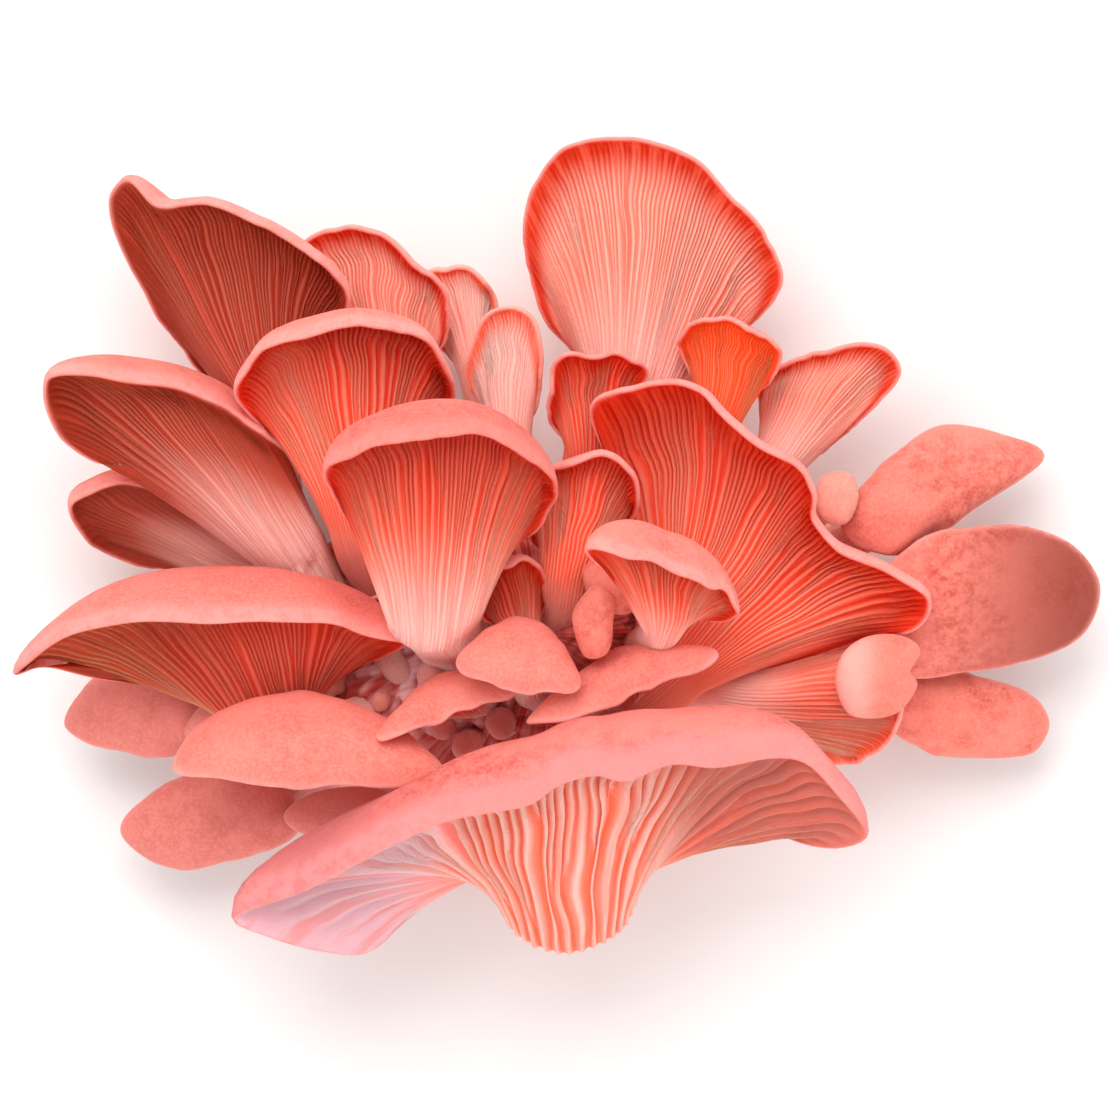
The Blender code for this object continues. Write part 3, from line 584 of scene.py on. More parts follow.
# %% [markdown]
# ## Flesh colours
#
# One recipe paints every fruit body. The velvety top is salmon with darker blotches and a paler
# bloom on the margin. On the gills the colour follows the blade: the gaps are painted darker
# orange, as painted shade and as painted warm light that stands for light through the thin flesh,
# and the blade edges are painted pale pink, as lit. Under the margin both are painted darker
# still, as the margin's painted shade. Down the stem all of it fades to near white. A flat colour
# would hide the blades, so the values that the surface carries drive the mixing, and noises of
# several sizes break it up. On a few bodies one end is tinted too: a wing of gills in lilac, or in
# brown or orange as painted shade, or the far end of a top, darker as painted shade on two and
# paler on one. Some bodies that lie out of the light get darker copies of a kind, as painted
# shade. Some light is let into the flesh, which makes thin margins translucent.

# %% Small makers for shader nodes
def fill(tree, socket, value):
    """Give a socket a colour or a number, or link another socket into it."""
    if isinstance(value, bpy.types.NodeSocket):
        tree.links.new(value, socket)
    elif isinstance(value, tuple):
        socket.default_value = (*value, 1.0)
    else:
        socket.default_value = value


def noise(tree, vector, scale, detail, roughness=0.6):
    """Soft random values from 0 to 1 over the surface."""
    node = tree.nodes.new("ShaderNodeTexNoise")
    node.inputs["Scale"].default_value = scale
    node.inputs["Detail"].default_value = detail
    node.inputs["Roughness"].default_value = roughness
    tree.links.new(vector, node.inputs["Vector"])
    return node.outputs["Fac"]


def blend_colour(tree, factor, first, second):
    """Colour between two, each a colour or a socket; the factor is a socket."""
    node = tree.nodes.new("ShaderNodeMix")
    node.data_type = "RGBA"
    fill(tree, node.inputs["Factor"], factor)
    fill(tree, node.inputs["A"], first)
    fill(tree, node.inputs["B"], second)
    return node.outputs["Result"]


def remap(tree, value, low, high, new_low=0.0, new_high=1.0):
    """Value moved smoothly from one range to another, and held at the new range's ends."""
    node = tree.nodes.new("ShaderNodeMapRange")
    node.interpolation_type = "SMOOTHSTEP"
    names = ("From Min", "From Max", "To Min", "To Max")
    for name, number in zip(names, (low, high, new_low, new_high)):
        node.inputs[name].default_value = number
    tree.links.new(value, node.inputs["Value"])
    return node.outputs["Result"]


def maths(tree, operation, first, second):
    """Sum or product of two sockets, or of a socket and a number."""
    node = tree.nodes.new("ShaderNodeMath")
    node.operation = operation
    fill(tree, node.inputs[0], first)
    fill(tree, node.inputs[1], second)
    return node.outputs[0]


# %% The flesh recipe
PATCH_SCALE = 55.0
MOTTLE_SCALE = 330.0
VELVET_SCALE = 1500.0
STREAK_SCALE = 26.0
LIGHT_INSIDE = 0.38
LIGHT_REACH = (1.0, 0.26, 0.14)
LIGHT_SCALE = 0.004
SHEEN = 0.12
RELIEF = 0.6
RELIEF_HEIGHT = 0.0004
KINDS = {}


def flesh(name, top_colours, gill_colours, foot, blotched=0.5, reach=0.45, paling=(0.36, 0.62),
          wings=(), crowns=()):
    """Make the material of one kind of flesh.

    The top's colours are the cap's own, its blotches' and the bloom's. The gills' colours are
    the gaps' and the blades' under the margin, darker as painted shade, then those further in,
    where the gaps are painted darker than the blade edges. foot is the stem's. reach is how far
    in the painted shade goes, and paling from where to where the foot's colour takes over. Wings
    tint the gills and crowns the top along the cluster: each is a colour, the x in metres where it
    starts and the x where it is full; most of them paint shade on an end out of the light.
    """
    cap, blotch, bloom = top_colours
    shaded_gap, shaded_blade, gap, edge = gill_colours
    material = bpy.data.materials.new(name)
    material.use_nodes = True
    tree = material.node_tree
    shader = tree.nodes["Principled BSDF"]
    growth = tree.nodes.new("ShaderNodeAttribute")
    growth.attribute_name = "growth"
    grain = tree.nodes.new("ShaderNodeAttribute")
    grain.attribute_name = "grain"
    split = tree.nodes.new("ShaderNodeSeparateColor")
    tree.links.new(growth.outputs["Color"], split.inputs["Color"])
    blade, margin, along = split.outputs["Red"], split.outputs["Green"], split.outputs["Blue"]
    upper_side = growth.outputs["Alpha"]
    place = tree.nodes.new("ShaderNodeTexCoord").outputs["Object"]
    sideways = tree.nodes.new("ShaderNodeSeparateXYZ")
    tree.links.new(place, sideways.inputs["Vector"])

    def tinted(colour, tints):
        for shade, start, full in tints:
            amount = remap(tree, sideways.outputs["X"], start, full, 0.0, 0.85)
            colour = blend_colour(tree, amount, colour, shade)
        return colour

    patches = noise(tree, place, PATCH_SCALE, 2.0)
    mottles = noise(tree, place, MOTTLE_SCALE, 3.0, 0.7)
    velvet = noise(tree, place, VELVET_SCALE, 1.0)
    streaks = noise(tree, grain.outputs["Vector"], STREAK_SCALE, 3.0)

    patchy = remap(tree, patches, 0.34, 0.64)
    darkening = maths(tree, "MULTIPLY", patchy, remap(tree, mottles, 0.32, 0.66))
    darkening = maths(tree, "MULTIPLY", darkening, blotched)
    top = blend_colour(tree, darkening, cap, blotch)
    top = blend_colour(tree, remap(tree, velvet, 0.35, 0.75, 0.0, 0.38), top, bloom)
    # Crowns: a colour over one end of the top; most are painted shade on an end out of the light.
    top = tinted(top, crowns)
    broken = remap(tree, mottles, 0.3, 0.6, 0.25, 0.75)
    pale_margin = maths(tree, "MULTIPLY", remap(tree, margin, 0.25, 1.0), broken)
    top = blend_colour(tree, pale_margin, top, bloom)

    # Painted shade under the margin: the gaps and blades there get their own darker colours, which
    # fade out along the gills as far as reach.
    shaded = blend_colour(tree, remap(tree, blade, 0.15, 0.85), shaded_gap, shaded_blade)
    # Painted shade and light on the blades: the gaps between them are painted darker, the blade
    # edges paler, as if lit.
    open_gills = blend_colour(tree, remap(tree, blade, 0.10, 0.75), gap, edge)
    open_gills = blend_colour(tree, remap(tree, streaks, 0.40, 0.72, 0.0, 0.45), open_gills, edge)
    below = blend_colour(tree, remap(tree, along, 0.08, reach), shaded, open_gills)
    # Wings: a colour over one end of the gills; most are painted shade on an end out of the light.
    below = tinted(below, wings)
    below = blend_colour(tree, remap(tree, along, paling[0], paling[1], 0.0, 0.95), below, foot)
    below = blend_colour(tree, remap(tree, streaks, 0.44, 0.62, 0.0, 0.35), below, gap)
    colour = blend_colour(tree, upper_side, below, top)
    tree.links.new(colour, shader.inputs["Base Color"])

    roughness = remap(tree, mottles, 0.3, 0.7, 0.55, 0.75)
    tree.links.new(roughness, shader.inputs["Roughness"])
    shader.inputs["Subsurface Weight"].default_value = LIGHT_INSIDE
    shader.inputs["Subsurface Radius"].default_value = LIGHT_REACH
    shader.inputs["Subsurface Scale"].default_value = LIGHT_SCALE
    shader.inputs["Specular IOR Level"].default_value = SHEEN

    fuzz = maths(tree, "MULTIPLY", velvet, 0.5)
    relief = maths(tree, "ADD", fuzz, maths(tree, "MULTIPLY", mottles, 0.8))
    relief = maths(tree, "ADD", relief, maths(tree, "MULTIPLY", streaks, 0.6))
    bump = tree.nodes.new("ShaderNodeBump")
    bump.inputs["Strength"].default_value = RELIEF
    bump.inputs["Distance"].default_value = RELIEF_HEIGHT
    tree.links.new(relief, bump.inputs["Height"])
    tree.links.new(bump.outputs["Normal"], shader.inputs["Normal"])
    KINDS[name] = material


# %% The kinds of flesh in this cluster
BRICK = (0.66, 0.11, 0.08)
BLOOM = (0.93, 0.36, 0.33)
# Painted shade: the first two are the gaps and blades in the shade under a margin; the next two are
# the gaps further in, painted darker as shade between the blades, and the blade edges.
RIM_SHADE_GAP = (0.55, 0.010, 0.001)
RIM_SHADE_BLADE = (0.66, 0.030, 0.007)
ORANGE = (0.92, 0.080, 0.028)
APRICOT = (0.96, 0.29, 0.20)
STEM_PINK = (0.97, 0.52, 0.46)
SALMON_TOP = ((0.87, 0.235, 0.185), BRICK, BLOOM)
# Brown gills are painted shade, for the bodies on the left that lie out of the light.
SHADED_BROWN_GILLS = ((0.25, 0.016, 0.005), (0.34, 0.042, 0.018), (0.52, 0.052, 0.022),
               (0.70, 0.18, 0.13))
CORAL_GILLS = ((0.62, 0.05, 0.03), (0.75, 0.16, 0.11), (0.80, 0.12, 0.07), (0.93, 0.32, 0.26))

flesh("salmon_orange", SALMON_TOP, (RIM_SHADE_GAP, RIM_SHADE_BLADE, ORANGE, APRICOT), (0.97, 0.64, 0.59),
      paling=(0.30, 0.58))
# A darker copy of salmon_orange for a cap high in the light: its top is painted darker, as painted
# shade, and so is the shade under its margin.
flesh("salmon_shaded", ((0.80, 0.18, 0.14), (0.56, 0.09, 0.07), (0.86, 0.27, 0.24)),
      ((0.46, 0.006, 0.001), (0.56, 0.018, 0.004), ORANGE, APRICOT), (0.98, 0.64, 0.59), 0.6,
      paling=(0.28, 0.55))
# The lilac wing is the gills' own tone; the brown wing at the right and the dusky crown at the left
# end are painted shade on ends out of the light.
flesh("salmon_pale", ((0.90, 0.25, 0.205), (0.60, 0.08, 0.06), (0.88, 0.31, 0.31)),
      ((0.84, 0.26, 0.20), (0.93, 0.42, 0.37), (0.94, 0.15, 0.07), (0.98, 0.47, 0.41)),
      (0.97, 0.54, 0.48), 0.9, 0.20, (0.75, 0.95),
      wings=[((0.70, 0.46, 0.53), -0.012, -0.034), ((0.56, 0.14, 0.11), 0.018, 0.032)],
      crowns=[((0.56, 0.15, 0.15), -0.015, -0.048)])
# Its foot is painted darker as well, as painted shade between the stems.
flesh("salmon_brown", SALMON_TOP, SHADED_BROWN_GILLS, (0.76, 0.26, 0.21), 0.5, 0.5, (0.34, 0.65))
flesh("brown_pale", SALMON_TOP, SHADED_BROWN_GILLS, (0.98, 0.64, 0.58), 0.5, 0.42, (0.26, 0.52))
# Its brown gills are painted shade too, under a cap on the left that lies out of the light.
flesh("brown_smooth", ((0.80, 0.21, 0.165), BRICK, BLOOM),
      ((0.30, 0.035, 0.018), (0.36, 0.055, 0.032), (0.50, 0.08, 0.045), (0.66, 0.18, 0.13)),
      (0.95, 0.52, 0.46), 0.5, 0.40, (0.22, 0.40))
# The wing darkens the gills at the left end to brown, as painted shade out of the light.
flesh("bonnet_brown", ((0.84, 0.21, 0.17), BRICK, BLOOM),
      (RIM_SHADE_GAP, RIM_SHADE_BLADE, (0.75, 0.070, 0.030), (0.90, 0.25, 0.18)), STEM_PINK, 0.5, 0.5,
      (0.40, 0.70), wings=[((0.30, 0.045, 0.024), -0.054, -0.084)])
flesh("ember", SALMON_TOP, (RIM_SHADE_GAP, RIM_SHADE_BLADE, ORANGE, (0.98, 0.31, 0.22)), STEM_PINK, 0.5, 0.40,
      (0.5, 0.95))
flesh("tangerine", SALMON_TOP,
      ((0.93, 0.055, 0.006), (0.96, 0.090, 0.014), (0.98, 0.090, 0.014), (0.98, 0.22, 0.12)),
      STEM_PINK, 0.4, 0.40, (0.5, 0.95))
flesh("petal", ((0.89, 0.26, 0.21), BRICK, BLOOM),
      ((0.58, 0.020, 0.003), (0.72, 0.055, 0.016), (0.95, 0.20, 0.13), (0.98, 0.42, 0.34)),
      (0.98, 0.62, 0.57), 0.4, 0.19, (0.26, 0.52))
flesh("peach", ((0.93, 0.34, 0.27), (0.82, 0.20, 0.14), (0.95, 0.46, 0.40)),
      ((0.86, 0.10, 0.04), (0.94, 0.26, 0.18), (0.97, 0.40, 0.33), (0.98, 0.56, 0.50)),
      (0.98, 0.50, 0.43), 0.3, 0.22, (0.30, 0.60))
flesh("coral", ((0.87, 0.24, 0.185), (0.60, 0.085, 0.06), (0.91, 0.34, 0.29)), CORAL_GILLS,
      STEM_PINK, 0.75)
# The crown darkens the top towards its far right end, as painted shade out of the light.
flesh("coral_dusky", ((0.86, 0.24, 0.19), (0.56, 0.08, 0.055), (0.90, 0.34, 0.29)), CORAL_GILLS,
      STEM_PINK, 0.85, crowns=[((0.28, 0.045, 0.030), 0.070, 0.108)])
flesh("coral_pale", ((0.87, 0.24, 0.185), BRICK, (0.91, 0.34, 0.29)), CORAL_GILLS, STEM_PINK,
      crowns=[((0.96, 0.46, 0.40), 0.068, 0.060)])
# A darker, duller copy for caps and buds that lie out of the light: painted shade.
flesh("rose", ((0.74, 0.22, 0.185), (0.52, 0.09, 0.07), (0.82, 0.31, 0.28)),
      ((0.36, 0.04, 0.025), (0.55, 0.12, 0.09), (0.60, 0.07, 0.05), (0.82, 0.27, 0.22)),
      (0.90, 0.48, 0.46), 0.4)
# The orange wing at the right end of the gills is painted shade.
flesh("funnel", SALMON_TOP,
      ((0.90, 0.15, 0.06), (0.97, 0.40, 0.31), (0.97, 0.50, 0.41), (0.99, 0.72, 0.66)),
      (0.99, 0.70, 0.65), 0.4, 0.18, (0.30, 0.60), wings=[((0.90, 0.10, 0.035), 0.026, 0.036)])
# On the butt the dark gap colour is the painted shade in the creases and away from the pale spot.
flesh("pale", ((0.98, 0.44, 0.40), (0.90, 0.32, 0.28), (0.98, 0.58, 0.56)),
      ((0.86, 0.25, 0.18), (0.94, 0.52, 0.48), (0.50, 0.050, 0.032), (1.0, 0.62, 0.64)),
      (0.97, 0.66, 0.69), 0.4, 0.25, (0.95, 1.0))
print("kinds of flesh:", len(KINDS))


# %% Place a piece, and grow a fruit body
FEET = []


def place_piece(name, mesh, kind, node):
    """Give a piece its flesh, and let it ride with the cluster and stand for its CAD node."""
    mesh.materials.append(KINDS[kind])
    piece = bpy.data.objects.new(name, mesh)
    bpy.context.scene.collection.objects.link(piece)
    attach(piece, "root")
    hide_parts(node)
    print(name, "faces:", len(mesh.polygons))


def grow(name, kind, top, height, bulge, outline, stem, joins=None, **sizes):
    """Make one fruit body, which stands for its own node or for the one that it joins.

    top is the way the cap's top faces, height that of the rim's middle, bulge that of the dome;
    outline is the rim as seen from above, and stem the bent path from the cap to the butt.
    """
    body = fruit_body(outline, top, height, bulge, stem, **sizes)
    place_piece(name + "_fruit", mesh_from_rings(name + "_fruit", *body), kind, joins or name)
    if joins is None:
        FEET.append(stem[-1])


# %% [markdown]
# ## Hoods
#
# A hood is a cap that has tipped forward, so that we see a band of its velvety top, the rolled
# margin, and under it the gills that pour down onto the stem. A tilted disc would look stamped:
# real margins are lobed, so each outline is a few points of the margin as seen from above.

# %% Hoods
grow("hood_centre", "salmon_shaded", (-0.05, 0.85, -0.5), 79, 18.5,
     [(-44.5, 17), (-37.5, 21), (-27.5, 24), (-17.5, 24.5), (-7.5, 22.5), (-0.5, 18), (1, 12),
      (-3.5, 6), (-13.5, 3), (-23.5, 2), (-33.5, 5), (-40.5, 10)],
     [(-23.5, 2), (-24, -10, 54), (-18, -18, 28)], radii=(10, 7), gills=20, depth=1.6, square=2.3,
     roll=0.7, seed=1)
grow("hood_bottom", "salmon_pale", (0, 0.95, -0.3), 65, 18,
     [(-63, -71, 53), (-50, -66, 61), (-41, -61.5, 66), (-32, -56.5, 70), (-22, -52, 74),
      (-12, -50, 76), (-4, -48, 76), (2, -44, 74), (9, -42, 75), (15, -43, 77), (24, -40, 75),
      (33, -41, 75), (44, -39, 70), (51, -40, 65), (57, -46, 62), (63, -54, 56), (58, -57, 49),
      (50, -56, 46), (41, -52, 43), (30, -48, 41), (16, -48, 41), (0, -51, 43), (-14, -56, 44),
      (-26, -68, 45), (-36, -78, 47), (-46, -78, 49), (-56, -75, 51)],
     [(3, -62, 53), (4, -68, 37), (2, -52, 22), (4, -44, 14)], radii=(14, 9), blades=44, gills=27,
     depth=2.2, square=3, roll=1, wave=0.2, seed=2)
grow("hood_right", "salmon_orange", (0.05, 0.9, -0.43), 74, 12,
     [(7, 2), (12, 2.6), (17, 0.6), (23, -2), (30, -4), (36, -8), (37, -11), (31, -12), (24, -11),
      (17, -7), (11, -2)],
     [(24, -9.5), (21, -15, 55), (18, -17, 45)], radii=(3.6, 3.4), gills=11, depth=0.9, square=2.3,
     roll=0.7, seed=3, joins="fan_right")
grow("hood_centre_right", "ember", (0.15, 0.75, -0.65), 54.5, 6,
     [(1, 18), (8, 20.6), (13, 19.8), (17, 16), (17.6, 11), (14, 6), (7, 2), (0, 2), (-4, 6),
      (-3, 13)],
     [(5, 6), (3, -6, 50), (2, -16, 30)], radii=(5.5, 4.5), gills=12, depth=0.9, square=2.3,
     roll=0.7, seed=9)
grow("hood_centre_small", "salmon_orange", (-0.3, 0.7, -0.65), 52, 4,
     [(-14, -8.5), (-12, -3.5), (-7.5, 0), (-2.5, -1.5), (-1, -6.5), (-3.5, -11.5), (-8.5, -13),
      (-13, -11.5)],
     [(-6.5, -7.5), (-5, -16, 46), (-7, -18, 32)], radii=(3, 4), gills=8, depth=0.6, seed=10)
grow("hood_left", "ember", (-0.05, 0.78, -0.62), 50, 15,
     [(-62.4, 35), (-56, 42), (-46, 45.6), (-36, 46.6), (-27, 44.4), (-21, 39.6), (-19, 33),
      (-22, 26), (-30, 20), (-40, 17), (-51, 22), (-60, 30)],
     [(-38, 18), (-36, 2, 34), (-32, -5, 20)], radii=(8.5, 6.5), gills=19, depth=1.3, square=2.3,
     roll=0.7, seed=13)
grow("cap_small_left", "brown_smooth", (-0.2, 0.72, -0.66), 26, 9,
     [(-96, 10), (-91, 14), (-84, 15.4), (-76, 14), (-67, 10.6), (-60, 4), (-61, -1), (-70, -1.5),
      (-80, -1), (-90, 2)],
     [(-68, 2), (-46, -3, 13)], radii=(4.5, 5), gills=12, depth=0.3, square=2.8, roll=1, seed=31)

# %% [markdown]
# ## Fans
#
# A fan turns its whole gill face to us, like a shell: the gills run from the stem to the far
# margin, and only the rolled edge of the top shows round them. The recipe is the same; the top
# just faces away from us and down, so that the sweep of the gills lies open.

# %% Fans
grow("fan_right", "ember", (0.25, 0.5, -0.83), 48, 9,
     [(8.5, 29.5), (13, 33.5), (21, 34.5), (29, 33), (34, 29), (41, 24), (48, 19), (52, 13),
      (52.5, 7.5), (58, 1.5), (67, -2), (75, -7), (73, -13.5), (63, -16.5), (51, -20), (40, -21.5),
      (29, -20.5), (21, -12.5), (18, 2.5), (14, 15.5)],
     [(26, -15.5), (9, -35, 42), (8, -26, 20)], radii=(9, 7), gills=23, depth=1.3, square=2.8,
     roll=0.9, wave=0.7, seed=12)
grow("fan_left", "brown_pale", (-0.1, 0.62, -0.78), 45.5, 19.5,
     [(-100, 34), (-97.5, 36.5), (-91, 37.2), (-84, 36.4), (-76, 34.8), (-68, 32), (-60, 28),
      (-53, 22), (-50, 14), (-54, 7), (-61, 6), (-68, 10.5), (-76, 16), (-84, 19), (-92, 20.2),
      (-99, 26)],
     [(-57, 13), (-51, 1, 29), (-43, -15, 23)], radii=(7, 6), gills=18, depth=1.2, square=2.3,
     roll=0.7, wave=0.5, seed=14)
grow("fan_top", "petal", (0.1, 0.35, -0.93), 30, 7,
     [(12, 84), (19, 83.8), (27, 81), (34, 75), (41, 68), (45.6, 61), (46.4, 55), (41, 48),
      (33, 42), (24, 38), (15, 37), (7, 39.6), (1, 46), (-3, 55), (-4.8, 65), (-3.4, 74), (3, 81)],
     [(19, 41), (15, 24, 20), (12, 10, 16)], radii=(8, 6.5), gills=22, depth=0.85, seed=22)
grow("fan_upper_left", "salmon_brown", (0.25, 0.55, -0.8), 34, 8,
     [(-87.6, 73), (-84, 76), (-79, 71.6), (-73, 71.4), (-66, 70.4), (-58, 67), (-50, 63),
      (-43, 57), (-41, 50), (-48, 41), (-56, 34), (-64, 32), (-70, 38), (-78, 49), (-85, 61),
      (-87.8, 68)],
     [(-60, 39), (-44, 22, 15), (-36, 6, 14)], radii=(6.5, 6), gills=20, depth=1.2, square=2.8,
     roll=1, wave=0.4, seed=28)
grow("fan_upper_left_back", "petal", (0.2, 0.5, -0.84), 24, 6,
     [(-50.6, 62), (-42, 66.4), (-34, 64.6), (-26, 58.6), (-21, 51), (-22, 43), (-30, 36),
      (-40, 36), (-46, 46)],
     [(-32, 40), (-24, 18, 14), (-20, 10, 12)], radii=(5.5, 5), gills=16, depth=1, seed=29)
grow("fan_small_left", "salmon_orange", (0.1, 0.55, -0.83), 34, 3,
     [(-39, -10.5), (-34, -7.5), (-29, -9), (-27.5, -13), (-30, -17.5), (-36, -19.5), (-40, -15.5)],
     [(-33, -17), (-27, -27, 34), (-31, -24, 24)], radii=(2.6, 3.4), gills=8, depth=0.6, wave=0.2,
     seed=16)
grow("fan_top_right", "tangerine", (0.1, 0.5, -0.86), 39, 4,
     [(26, 42), (28, 46.4), (34, 48), (41, 46.6), (45.6, 42), (44, 36), (38, 32), (31, 34)],
     [(36, 35), (28, 14, 22)], radii=(4.5, 4.5), gills=12, depth=0.8, seed=20)
grow("fan_upper_right", "petal", (0.15, 0.4, -0.9), 28, 4,
     [(43, 36), (50, 40), (60, 42.8), (67, 42), (69.6, 37), (66, 32), (61, 27), (55, 22), (49, 22),
      (44, 28)],
     [(50, 27), (38, 8, 16)], radii=(5, 5), gills=14, depth=0.9, seed=27)

# %% Small fans and curled ones
grow("cap_curled", "ember", (-0.3, 0.5, -0.8), 44, 3,
     [(0.4, 36), (3, 41), (8, 40.6), (14, 40.6), (19, 37.4), (15, 32), (9, 27), (4, 25), (0.4, 29)],
     [(7, 30), (4, 10, 26)], radii=(4, 4), gills=10, depth=0.8, seed=19)
grow("cap_oval_upright", "peach", (0.25, 0.3, -0.92), 36, 4,
     [(-14, 47), (-10.4, 50.4), (-6.6, 50.6), (-3.2, 47.6), (-1.8, 41), (-2.2, 34), (-4, 29),
      (-9, 28), (-14, 32), (-17, 38)],
     [(-7.5, 31), (-5, 10, 26)], radii=(4, 4), gills=12, depth=0.7, wave=0.2, seed=21)
grow("cap_small_top", "peach", (0, 0.45, -0.9), 17, 4,
     [(-25, 57), (-21.6, 59.4), (-17.6, 59.4), (-13.6, 56.6), (-10.6, 50.6), (-12, 43), (-17, 40),
      (-22, 44)],
     [(-16, 44), (-9, 14, 10)], radii=(3.5, 4), gills=11, depth=0.7, seed=30)
grow("funnel_right", "funnel", (0.55, 0.25, -0.8), 33, 5,
     [(46, -20.5), (56, -15.5), (64, -15.5), (69, -21.5), (70, -28.5), (68, -35.5), (62, -40.5),
      (54, -39.5), (47, -34.5), (44, -27.5)],
     [(52, -27.5), (38, -27, 28), (28, -27, 20)], radii=(6.5, 6.5), gills=16, depth=1, seed=18)

# %% [markdown]
# ## Bonnets
#
# A bonnet is seen from above and a little behind its margin: mostly smooth top, with a narrow
# strip of gills below the margin line. The dome is what counts here, so few gills are enough.

# %% Bonnets
grow("bonnet_centre", "salmon_orange", (0.05, 0.55, 0.83), 66, 6,
     [(-18.8, -20.5), (-14.5, -15.5), (-8, -12.2), (-2, -13.5), (2.5, -18), (5.5, -24.5), (1, -26),
      (-7, -26), (-14, -24)],
     [(-4, -20), (-3, -26, 38)], radii=(4, 4.5), gills=9, depth=0.7, roll=0.5, seed=4)
grow("bonnet_lower_left", "salmon_orange", (-0.05, 0.6, 0.8), 54, 7,
     [(-74.5, -41.5), (-71.5, -35.5), (-65.5, -30.5), (-55.5, -27.5), (-45.5, -27.5),
      (-35.5, -30.5), (-28.5, -35.5), (-22, -41.5), (-26.5, -44), (-37.5, -44.5), (-51.5, -44.5),
      (-65.5, -43.5)],
     [(-48.5, -33.5), (-37, -33, 31)], radii=(5.5, 6), gills=12, depth=0.8, roll=0.4, seed=5)
grow("bonnet_centre_right", "salmon_orange", (-0.25, 0.85, 0.45), 58, 5,
     [(-4, -32.2), (2, -27.5), (8, -23.5), (13, -20), (20, -18.5), (27, -18.5), (33, -19.4),
      (28, -22), (22, -24.5), (16, -27), (10, -29.5), (3, -31.5)],
     [(15, -22), (12, -27, 42)], radii=(3.6, 3.8), gills=11, depth=0.7, roll=0.4, seed=6,
     joins="fan_right")
grow("bonnet_centre_left", "salmon_orange", (-0.2, 0.85, 0.45), 56, 3.5,
     [(-34.4, -35), (-29, -29), (-24, -24.6), (-19, -23.4), (-12.5, -24), (-7, -26.4), (-14, -29),
      (-22, -31.4), (-30, -35)],
     [(-17, -26), (-14, -27, 35)], radii=(3.2, 4.5), gills=9, depth=0.5, roll=0.4, seed=7)
grow("bonnet_left", "bonnet_brown", (0, 0.93, -0.37), 48, 17.5,
     [(-107, -22.5), (-98, -15.5), (-88, -13), (-74, -12), (-60, -12), (-46, -12.5), (-36, -14.5),
      (-29, -16), (-34, -19.5), (-48, -23.5), (-64, -24.5), (-80, -24), (-92, -23), (-101, -21.5)],
     [(-57, -23), (-54, -30, 25), (-39, -24, 20)], radii=(7.5, 6), gills=18, depth=1.2, square=2.3,
     roll=0.7, wave=0.3, seed=15)

# %% [markdown]
# ## Round caps and buds
#
# At the sides the caps lean outwards and show only their tops. The smallest have not opened yet.

# %% Round caps and buds
grow("cap_right_upper", "coral", (0.3, 0.25, 0.92), 23, 6,
     [(59, 7), (63, 15), (70, 22), (78, 26), (85, 26.6), (92, 24.6), (99.6, 21.4), (95, 16.6),
      (86, 11), (76, 5), (68, 1)],
     [(70, 10), (48, 0, 14)], radii=(5, 5), gills=12, depth=0.7, roll=0.7, seed=23)
grow("cap_right", "coral_dusky", (0.3, -0.1, 0.95), 27.5, 7,
     [(68, -2), (76, 5), (86, 6), (96, 5.8), (104, 3), (109, -3), (109.4, -9), (106, -15),
      (99, -18.6), (90, -21), (78, -23), (68, -21.6), (65, -12)],
     [(76, -10), (46, -8, 21)], radii=(5.5, 5.5), gills=12, depth=0.8, roll=0.4, seed=24)
grow("cap_right_lower", "coral", (0.25, -0.3, 0.92), 18, 6,
     [(66, -28), (70, -23.6), (80, -22.6), (90, -25), (98, -29), (100.4, -34), (97, -38.4),
      (89, -40), (80, -39), (71, -35.6)],
     [(72, -31), (46, -24, 13)], radii=(4.5, 5), gills=12, depth=0.7, roll=0.4, seed=25)
grow("cap_left_round", "rose", (-0.3, 0.15, 0.94), 20, 5,
     [(-97.6, -32), (-94, -26), (-89, -22.6), (-80, -21), (-71, -24), (-66, -30), (-72, -36.6),
      (-81, -39), (-90, -37.8), (-96, -35)],
     [(-74, -30), (-43, -32, 8)], radii=(4.5, 5), gills=12, depth=0.7, roll=0.5, seed=33)
grow("cap_low_left", "rose", (-0.25, -0.1, 0.96), 22, 6,
     [(-86, -55), (-82, -49), (-74, -44.4), (-64, -43), (-54, -46), (-51, -53), (-56, -58),
      (-64, -60.4), (-72, -62.2), (-80, -61)],
     [(-60, -51), (-36, -38, 12)], radii=(4.5, 5), gills=12, depth=0.7, roll=0.5, seed=35)
grow("cap_low_left_small", "rose", (0, -0.2, 0.98), 30, 3,
     [(-53, -51), (-47, -47), (-38, -46), (-31, -48), (-33, -52), (-42, -54.8), (-50, -54.4)],
     [(-39, -50), (-28, -46, 20)], radii=(3, 4), gills=8, depth=0.5, wave=0.1, seed=34)
grow("cap_oval_small", "coral", (0.2, 0.1, 0.97), 63, 3.5,
     [(5, -12), (6.4, -8), (9.4, -5.4), (12.4, -8), (12, -12.5), (11, -18), (7, -18.6)],
     [(9, -12), (9, -15, 44)], radii=(2.6, 3.4), gills=7, depth=0.5, roll=0.8, wave=0.1, seed=8)
grow("cap_small_right", "coral", (0.2, 0.3, 0.93), 57, 3.5,
     [(7, -2), (11.6, 0.4), (17, -3), (18.4, -8), (14, -10.4), (9, -8)],
     [(12, -5), (12, -10, 32)], radii=(2.6, 3.2), gills=7, depth=0.5, wave=0.1, seed=11)
